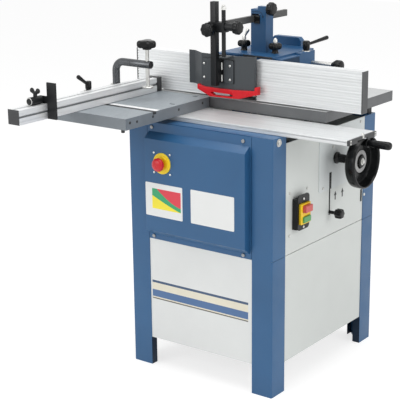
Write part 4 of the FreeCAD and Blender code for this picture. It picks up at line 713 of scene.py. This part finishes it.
# Painted highlight: a near-white strip on the top just behind the slot stands for the lit far wall of the
# slot
slot_highlight_alu = drawn_aluminium("painted_highlight_aluminium", (0.95, 0.955, 0.955), 0.4, ACROSS_X, 0.2)
slot_highlight_strip = block(-296, -112.4, -361.6, -342, 859.2, 860.05, 0.05)
make_piece("mitre_slot_painted_highlight", [slot_highlight_strip], slot_highlight_alu, "carriage")
# Painted shade: flat black discs on the table's end stand for the dark insides of its holes; the turned
# foot under the corner is a real black part
HOLE_SHADE_SPOTS = ((-252, 846), (-378, 846), (-453, 844), (-485, 846), (-130, 846))
hole_shades = [lathe([(-111.4, 4.4), (-110.6, 4.2), (-110.3, 3)], "x", y, z, 20) for y, z in HOLE_SHADE_SPOTS]
corner_foot = lathe([(813, 3.6), (813.6, 5.2), (815, 5.6), (821, 5.6), (822, 5), (822, 3), (846.2, 3)],
                    "z", -138, -486, 28)
make_piece("cross_table_hole_shades_and_foot", hole_shades + [corner_foot], cap_black, "carriage")

# Mitre fence: an extruded aluminium profile with a T-slot on top and black plugs in its ends, on
# an aluminium swivel bracket; a moulded ratchet lever over a steel washer clamps it
FENCE_LEFT, FENCE_RIGHT, FENCE_LOW, FENCE_HIGH = -344, -301, 861, 905
profile_xz = [(-343.4, FENCE_LOW), (-301.6, FENCE_LOW), (FENCE_RIGHT, 861.6), (FENCE_RIGHT, 881),
              (-303.5, 881), (-303.5, 890), (FENCE_RIGHT, 890), (FENCE_RIGHT, 904.2),
              (-301.8, FENCE_HIGH), (-318.5, FENCE_HIGH), (-318.5, 900), (-314.5, 900), (-314.5, 893),
              (-330.5, 893), (-330.5, 900), (-326.5, 900), (-326.5, FENCE_HIGH), (-343.2, FENCE_HIGH),
              (FENCE_LEFT, 904.2), (FENCE_LEFT, 861.6)]
make_piece("mitre_fence_profile", [drawn(profile_xz, (-96.2, -744.4), 1)], alu_y, "mitre",
           ("mitre_fence",), 30)
dress(alu_y, "mitre_bracket")
soften(2, "mitre_bracket")
mitre_ends = [block(FENCE_LEFT, FENCE_RIGHT, -745, -744, FENCE_LOW, FENCE_HIGH, 0.2),
              block(-344.8, -300.2, -121, -95.6, 860.6, 905.8, 0.6, 2)]
make_piece("mitre_end_plugs", mitre_ends, cap_black, "mitre")
# Painted shade: a dark grey strip in the groove on the fence's right face stands for the shade inside the
# groove
groove_shade_strip = block(-303.6, -302.4, -744, -121.5, 881.1, 886, 0.1)
groove_shade_grey = moulded("groove_painted_shade_grey", (0.12, 0.13, 0.135), 0.5)
make_piece("mitre_groove_painted_shade", [groove_shade_strip], groove_shade_grey, "mitre")
POST_X, SWIVEL_Y, HOLD_Y = -365, -378, -245
washers = [lathe([(896.9, 6), (896.9, r), (899.4, r), (900, r - 0.6), (900, 6)], "z", POST_X, y, 32)
           for y, r in ((SWIVEL_Y, 14.5), (HOLD_Y, 19))]
steel_trim("bracket_washers", washers, "mitre")


def tube_along(path, radii, around=20):
    """A round bar along a path: at each point a circle of that point's radius is set square to the
    way the path runs, turned as little as possible from the circle before it."""
    path = np.asarray(path, dtype=float)
    radii = np.broadcast_to(np.asarray(radii, dtype=float), (len(path),))
    run = np.gradient(path, axis=0)
    run /= np.linalg.norm(run, axis=1)[:, None]
    side = np.array([1.0, 0.0, 0.0]) if abs(run[0, 0]) < 0.8 else np.array([0.0, 1.0, 0.0])
    sides = []
    for way in run:
        side = side - way * np.dot(side, way)
        side = side / np.linalg.norm(side)
        sides.append(side)
    sides = np.array(sides)
    ups = np.cross(run, sides)
    t = np.linspace(0.0, 2 * math.pi, around, endpoint=False)
    ring = np.cos(t)[None, :, None] * sides[:, None] + np.sin(t)[None, :, None] * ups[:, None]
    return loft(path[:, None] + radii[:, None, None] * ring)


def ball_end(start, end, r0, r1, steps=8):
    """The path and radii of a tapered lever arm from a hub to its tip, closed by a half ball."""
    start, end = np.asarray(start, dtype=float), np.asarray(end, dtype=float)
    way = (end - start) / np.linalg.norm(end - start)
    t = np.linspace(0.0, 1.0, 9)
    line = start + (end - start) * t[:, None]
    a = np.linspace(0.0, math.pi / 2, steps)[1:]
    cap = end + way * (r1 * np.sin(a))[:, None]
    radii = np.concatenate([r0 + (r1 - r0) * t ** 1.5, r1 * np.maximum(np.cos(a), 0.12)])
    return np.concatenate([line, cap]), radii


def clamp_lever(x, y, low, r, high, tip):
    """A ratchet lever: a turned hub with a cap, and an arm that swells towards its tip."""
    hub = lathe([(low, r - 2.0), (low + 7.0, r - 2.0), (low + 7.0, r - 0.4), (low + 8.0, r),
                 (low + high - 3.0, r), (low + high - 1.0, r - 1.0), (low + high, r - 3.0)], "z", x, y, 32)
    return [hub, tube_along(*ball_end((x, y, low + high * 0.6), tip, 4.6, 6.8))]


swivel_lever = clamp_lever(POST_X, SWIVEL_Y, 897, 10, 31, (POST_X, -421, 946))
black_trim("mitre_clamp_lever", swivel_lever, "mitre_clamp", ("mitre_lever",))

# Flip stop: a black anodised clamp barrel, faced bright at its end, whose butterfly screw grips the
# T-slot of the mitre fence, and a black painted plate that flips up on the clamp's pin
FLIP_X, FLIP_Z, WING_Y = -322.5, 917, -654
WING_FLAT = np.array([1, 0.55, 1])
flip_skins = [lathe(profile, "y", FLIP_X, FLIP_Z, around) for profile, around in (
    ([(-679.8, 11), (-678.8, 12), (-632, 12)], 48), ([(-680.3, 9.6), (-679.4, 9.6)], 40),
    ([(-632.5, 5), (-624.6, 5), (-624, 4.4)], 28))]
flip_skins += [block(FLIP_X - 3.7, FLIP_X + 3.7, -674, -638, 894, 910, 0.4),
               lathe([(926, 6), (941, 6), (942, 5)], "z", FLIP_X, WING_Y, 28)]
for side in (-1, 1):
    wing_tip = (FLIP_X + side * 11.5, WING_Y, 945.5)
    points, faces = tube_along(*ball_end((FLIP_X, WING_Y, 936), wing_tip, 4.6, 8), 24)
    flip_skins.append((points * WING_FLAT + (0, WING_Y * (1 - WING_FLAT[1]), 0), faces))
make_piece("flip_stop_barrel", flip_skins, black_coat, "flip_stop", ("flip_stop_clamp",))
barrel_face = lathe([(-680, 11.2), (-679.6, 11.4), (-679.2, 11.4)], "y", FLIP_X, FLIP_Z, 48)
make_piece("flip_stop_face_ring", [barrel_face], screw_steel, "flip_stop")
dress(black_coat, "flip_stop_plate")
soften(0.8, "flip_stop_plate")

# Hold-down: a bent tube of dark polished steel, open at its end, set in the swivel bracket; a
# plated screw with a pad runs down through it under a black three-lobed knob
gunmetal = turned_steel("gunmetal_steel", (0.11, 0.115, 0.122), 0.3)
HOLD_X, TUBE_Z, TUBE_R, TUBE_BEND = -237, 972, 12, 30
bend = arc(POST_X + TUBE_BEND, TUBE_Z - TUBE_BEND, TUBE_BEND, 180, 90, 13)
tube_xz = np.concatenate([[(POST_X, 897), (POST_X, 920)], bend, [(-320, TUBE_Z), (-299, TUBE_Z)]])
tube_skin = tube_along(np.insert(tube_xz, 1, HOLD_Y, axis=1), TUBE_R, 32)
tube_arm = lathe([(-300, TUBE_R), (-223, TUBE_R), (-222.2, 11.5), (-222, 10.8), (-222, 9.6), (-222.6, 9),
                  (-228, 9)], "x", HOLD_Y, TUBE_Z, 32)
make_piece("hold_down_arm", [tube_skin, tube_arm], gunmetal, "mitre", ("hold_down_tube",))
# Painted shade: a black disc inside the open end stands for the dark inside of the tube
bore_shade_disc = lathe([(-228.4, 8.9), (-226, 8.9)], "x", HOLD_Y, TUBE_Z, 32)
make_piece("hold_down_bore_painted_shade", [bore_shade_disc], cap_black, "mitre")
press_pad = lathe([(898, 15), (898.6, 17.4), (900, 18), (902.6, 18), (904, 16.6), (904, 6)],
                  "z", HOLD_X, HOLD_Y, 40)
press_rod = lathe([(903, 6), (1020, 6)], "z", HOLD_X, HOLD_Y, 24)
steel_trim("hold_down_spindle", [press_pad, press_rod], "hold_down", ("hold_down_screw",))
press_knob = lathe(round_rim(1025, 1048, 33, 9, 7), "z", HOLD_X, HOLD_Y, 96, 3, 0.4)
press_neck = lathe([(1019, 12), (1020, 14), (1026, 14)], "z", HOLD_X, HOLD_Y, 32)
black_trim("hold_down_grip_skin", [press_knob, press_neck], "hold_down_grip", ("hold_down_knob",))

# Fence hood: a box welded from steel sheet over the spindle, with a top plate, wings, a rear duct
# and the dust port, sprayed blue; star knobs, a ratchet lever and a fine-adjust knob clamp it
hood_blue = powder_coat("hood_blue_coat", (0.016, 0.08, 0.19), 0.36, 0.07, 0.4)
dress(hood_blue, "fence_hood")
soften(2.4, "fence_hood")
HOOD_TOP, HOOD_SIDE = 998, 125
# Painted shade: a flat dark blue patch on the hood's right side stands for the shade under the lid's
# overhang; the same dark blue paints the shade in the column's slit
painted_shade_blue_coat = powder_coat("painted_slot_shade_blue", (0.007, 0.03, 0.07), 0.6, 0.07, 0.3)
hood_side_shade = side_mark(rounded_box(-34, 64, 966, 989, 3), HOOD_SIDE)
make_piece("hood_side_painted_shade", [hood_side_shade], painted_shade_blue_coat, "fence")
# Painted shadow: a black strip on the lower part of the lid's front edge stands for the shadow under the
# lid's overhang
lid_shadow_strip = block(-16, 92, -43.35, -42.9, 991, 996.2, 0.1)
make_piece("lid_painted_shadow_strip", [lid_shadow_strip], cap_black, "fence")
STAR_Y, STAR_TURN = 25, -0.95
STAR_NECK = np.add([(0, 11), (6, 9.5), (16, 10.5)], (HOOD_TOP, 0))
DOME_NUT = np.add([(30, 5), (35, 5), (35, 7), (41, 6.9), (44.5, 5.6), (47, 3.4), (48, 1)], (HOOD_TOP, 0))
for name, body, x in (("star_knob_left", "star_left", -59), ("star_knob_right", "star_right", 59)):
    star = lathe(round_rim(HOOD_TOP + 11, HOOD_TOP + 32, 21, 9, 7), "z", x, STAR_Y, 96, 4, 0.36, STAR_TURN)
    neck = lathe(STAR_NECK, "z", x, STAR_Y, 28)
    black_trim(name + "_grip", [star, neck], body, (name,))
    steel_trim(name + "_dome_nut", [lathe(DOME_NUT, "z", x, STAR_Y, 24)], body)
thumb_lever = tube_along(*ball_end((-58.5, STAR_Y, 1039), (-47, 28, 1061), 3, 5.8))
steel_trim("star_thumb_lever", [thumb_lever], "star_left")
LEVER_X, LEVER_Y = 115, 119
hood_lever = clamp_lever(LEVER_X, LEVER_Y, 997, 11.5, 33, (127, 223, 1028))
black_trim("fence_clamp_lever", hood_lever, "fence_clamp", ("fence_lever",))
lever_washer = lathe([(996.6, 9), (996.6, 12.5), (998.2, 12.5), (998.8, 12), (998.8, 9)],
                     "z", LEVER_X, LEVER_Y, 32)
steel_trim("lever_washer", [lever_washer], "fence")
FINE = (140, 957)
fine_knob = lathe([(198, 8), (204, 12), (210, 16), (213, 17.6), (215, 18), (225, 18), (229, 17.6),
                   (232, 16.5), (235, 13.6), (236, 11), (236, 3)], "x", *FINE, 128, 16, 0.07)
black_trim("fine_adjust_grip", [fine_knob], "fine_adjust", ("fine_adjust_knob",))
steel_trim("fine_adjust_shaft", [lathe([(114, 8), (198.5, 8)], "x", *FINE, 28)], "fine_adjust")

# Fence plates: two ribbed aluminium extrusions that slide sideways on the wings of the hood, with
# dark moulded caps pressed into their ends
cap_grey = moulded("fence_cap_grey", (0.06, 0.062, 0.065), 0.5)
# Painted light: the left plate's aluminium is lighter than the right one's to stand for the light it
# catches; both plates are one metal
for side, shade, ends in (("left", (0.91, 0.925, 0.93), ((-414.6, -411), (-41, -37.6))),
                          ("right", (0.76, 0.775, 0.78), ((56.6, 60), (430, 433.6)))):
    plate = "fence_plate_" + side
    dress(drawn_aluminium(plate + "_aluminium", shade, 0.34, ACROSS_X, 0.3), plate)
    soften(0.35, plate)
    caps = [block(x0, x1, -81.3, -50.2, 864.2, 989.8, 0.3) for x0, x1 in ends]
    make_piece("fence_caps_" + side, caps, cap_grey, "fence_" + side)

# Guard column, arm and head: a square steel tube welded on the hood and sprayed blue, slit so that
# its knob pinches the arm; the dark flat arm carries the clamp head, each clamp with a lobed knob
dress(hood_blue, "guard_column")
soften(1.6, "guard_column")
# Painted shade: a thin dark rod along the column's slit and a dark disc at its hole stand for the shade
# inside them
pinch_xz = [(-24, 1122), (-4, 1124.5), (6, 1123.5), (12, 1120.5), (15.5, 1115), (16.5, 1111)]
pinch_slit_shade = tube_along(np.insert(pinch_xz, 1, 18, axis=1), 0.9, 10)
pinch_hole_shade = lathe([(17.6, 3), (18.4, 3)], "y", 17, 1109, 20)
pinch_pad = block(-13.1, 6.2, 14.7, 17.95, 1086.9, 1112.2, 0.4)
black_trim("column_pinch_pad", [pinch_pad], "fence")
make_piece("column_pinch_painted_shade", [pinch_slit_shade, pinch_hole_shade], painted_shade_blue_coat, "fence", crease=32)
arm_steel = powder_coat("dark_arm_steel", (0.055, 0.055, 0.054), 0.34)
dress(arm_steel, "guard_arm")
dress(black_coat, "guard_head")
soften(1.2, "guard_arm", "guard_head")
GUARD_KNOBS = (("column_grip", "column_clamp", "column_knob", "x", (27, 1134), (32, 54), 21, (28, 33)),
               ("arm_grip", "arm_clamp", "head_knob", "x", (-146, 1095), (24, 46), 21, None),
               ("bar_grip", "bar_clamp", "bar_knob", "y", (-50, 1087), (-194, -172), 22, (-173, -160)))
for name, body, node, axis, middle, ends, r, neck in GUARD_KNOBS:
    knob = [lathe(round_rim(*ends, r, 6), axis, *middle, 96, 8, 0.09)]
    if neck:
        knob.append(lathe([(neck[0], 9), (neck[1], 9)], axis, *middle, 28))
    black_trim(name, knob, body, (node,))

# Guard: a square bar and a guide rod of blackened steel that slide in the head, a hinge and a bent
# guard plate in satin black, and the red moulded pressure shoe with its springy lower leaf
BAR_X, BAR_Y, ROD_X = -50, -146, -16
square_bar = block(BAR_X - 10, BAR_X + 10, BAR_Y - 10, BAR_Y + 10, 910, 1169, 1.6, 1.6)
guide_rod = lathe([(1003, 6.5), (1146.5, 6.5)], "z", ROD_X, BAR_Y, 28)
make_piece("guard_slide_bars", [square_bar, guide_rod], black_coat, "guard",
           ("guard_bars",))
rod_nut = lathe([(1146, 9), (1153, 9), (1154, 8)], "z", ROD_X, BAR_Y, 6)
rod_tip = lathe([(1153.5, 5), (1159, 5), (1160, 4)], "z", ROD_X, BAR_Y, 20)
steel_trim("guide_rod_nut", [rod_nut, rod_tip], "guard")
guard_coat = powder_coat("satin_guard_black", (0.04, 0.047, 0.053), 0.42)
dress(black_coat, "hinge_plate")
soften(1, "hinge_plate")
leaves = [facing([rounded_box(x0, x1, 918.5, 989.5, 5)] * 2, (124.6, 126))
          for x0, x1 in ((-111, -61), (-31, 5))]
make_piece("hinge_leaves", leaves, guard_coat, "guard")
knuckles = [lathe([(z0, 2.2), (z0 + 0.6, 3), (z1 - 0.6, 3), (z1, 2.2)], "z", -37, -128, 20)
            for z0, z1 in ((922, 943), (958, 981))]
steel_trim("hinge_knuckles", knuckles, "guard")
hinge_screws = [lathe([(-128.6, 1.5), (-128, 3.6), (-126.4, 4.4), (-125.4, 4.4)], "y", x, z, 16)
                for x in (-106, -8) for z in (929, 972)]
steel_trim("hinge_screws", hinge_screws, "guard")


def eased(points, r, steps=6):
    """A broken line with its inner corners rounded: each corner gives way to an arc of the radius,
    worked out from the two runs that meet there."""
    points = np.asarray(points, dtype=float)
    out = [points[:1]]
    for a, b, c in zip(points[:-2], points[1:-1], points[2:]):
        u, v = (a - b) / np.linalg.norm(a - b), (c - b) / np.linalg.norm(c - b)
        half = math.acos(np.clip(np.dot(u, v), -1, 1)) / 2
        reach = r / math.tan(half)
        t = np.linspace(0.0, 1.0, steps)[:, None]
        p0, p1 = b + u * reach, b + v * reach
        out.append((1 - t) ** 2 * p0 + 2 * t * (1 - t) * b + t ** 2 * p1)
    out.append(points[-1:])
    return np.concatenate(out)


GUARD_LOW, GUARD_HIGH, SHEET = 898, 1003, 3
GUARD_LINE = [(-191, -90), (-168, -90), (-120, -121), (5, -121), (68, -103)]
bent = eased(GUARD_LINE, 9)
guard_outline = np.concatenate([bent, (bent + (0, SHEET))[::-1]])
guard_skins = [drawn(guard_outline, (GUARD_LOW, GUARD_HIGH), 2),
               block(-30, -2, -155, -118, GUARD_HIGH - SHEET, GUARD_HIGH, 0.4, 3),
               block(65.4, 68.2, -102.8, -91, GUARD_LOW, GUARD_HIGH, 0.4)]
make_piece("guard_sheet", guard_skins, guard_coat, "guard", ("guard_plate",))
shoe_red = moulded("shoe_red", (0.64, 0.004, 0.012), 0.3, shine=0.35)
SHOE_LEFT, SLIT_LEFT, SLIT_RIGHT, SHOE_RIGHT = -132, -82, 6, 81
SHOE_TOP = np.array([(SHOE_LEFT, 904), (-104, 898.4), (71.6, 898.4), (72.4, 910), (SHOE_RIGHT, 912)])
SHOE_UNDER = np.array([(SHOE_LEFT, 889), (-104, 878), (-84, 870), (24, 872), (52, 880),
                       (SHOE_RIGHT, 887)])
SLIT_ROOF = np.array([(SLIT_LEFT, 882), (-74, 885), (-4, 884), (SLIT_RIGHT, 880)])
SLIT_FLOOR = np.array([(SLIT_LEFT, 882), (-70, 875), (-6, 876), (SLIT_RIGHT, 880)])


def runner(start, end, under, top, half=8.0, edge=1.2):
    """A length of the runner: rings along X, each a rectangle with eased corners between the lower
    and the upper line at that place, centred on the guard's line, which bends back at the right."""
    x = np.unique(np.concatenate([np.linspace(start, end, 30), np.clip(top[:, 0], start, end),
                                  np.clip(under[:, 0], start, end)]))
    middle = -120.0 + np.maximum(x - 5.0, 0.0) * 18.0 / 63.0
    low, high = np.interp(x, *under.T)[:, None], np.interp(x, *top.T)[:, None]
    turn = np.radians(np.concatenate([np.linspace(a, a + 90.0, 4) for a in (-90.0, 0.0, 90.0, 180.0)]))
    sign_y = np.repeat([1.0, 1.0, -1.0, -1.0], 4)
    upper = np.repeat([0.0, 1.0, 1.0, 0.0], 4)
    r = np.minimum(edge, (high - low) * 0.4)
    y = middle[:, None] + sign_y * (half - r) + r * np.cos(turn)
    z = low + r + (high - low - 2 * r) * upper + r * np.sin(turn)
    return loft(np.stack([np.broadcast_to(x[:, None], y.shape), y, z], -1))


shoe_runs = [runner(SHOE_LEFT, SLIT_LEFT, SHOE_UNDER, SHOE_TOP),
             runner(SLIT_RIGHT, SHOE_RIGHT, SHOE_UNDER, SHOE_TOP),
             runner(SLIT_LEFT, SLIT_RIGHT, SLIT_ROOF, SHOE_TOP),
             runner(SLIT_LEFT, SLIT_RIGHT, SHOE_UNDER, SLIT_FLOOR)]
make_piece("pressure_runner", shoe_runs, shoe_red, "guard", ("pressure_shoe",))

# Size: the box round the dressed machine, the floor left out,
# is measured
low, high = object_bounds()
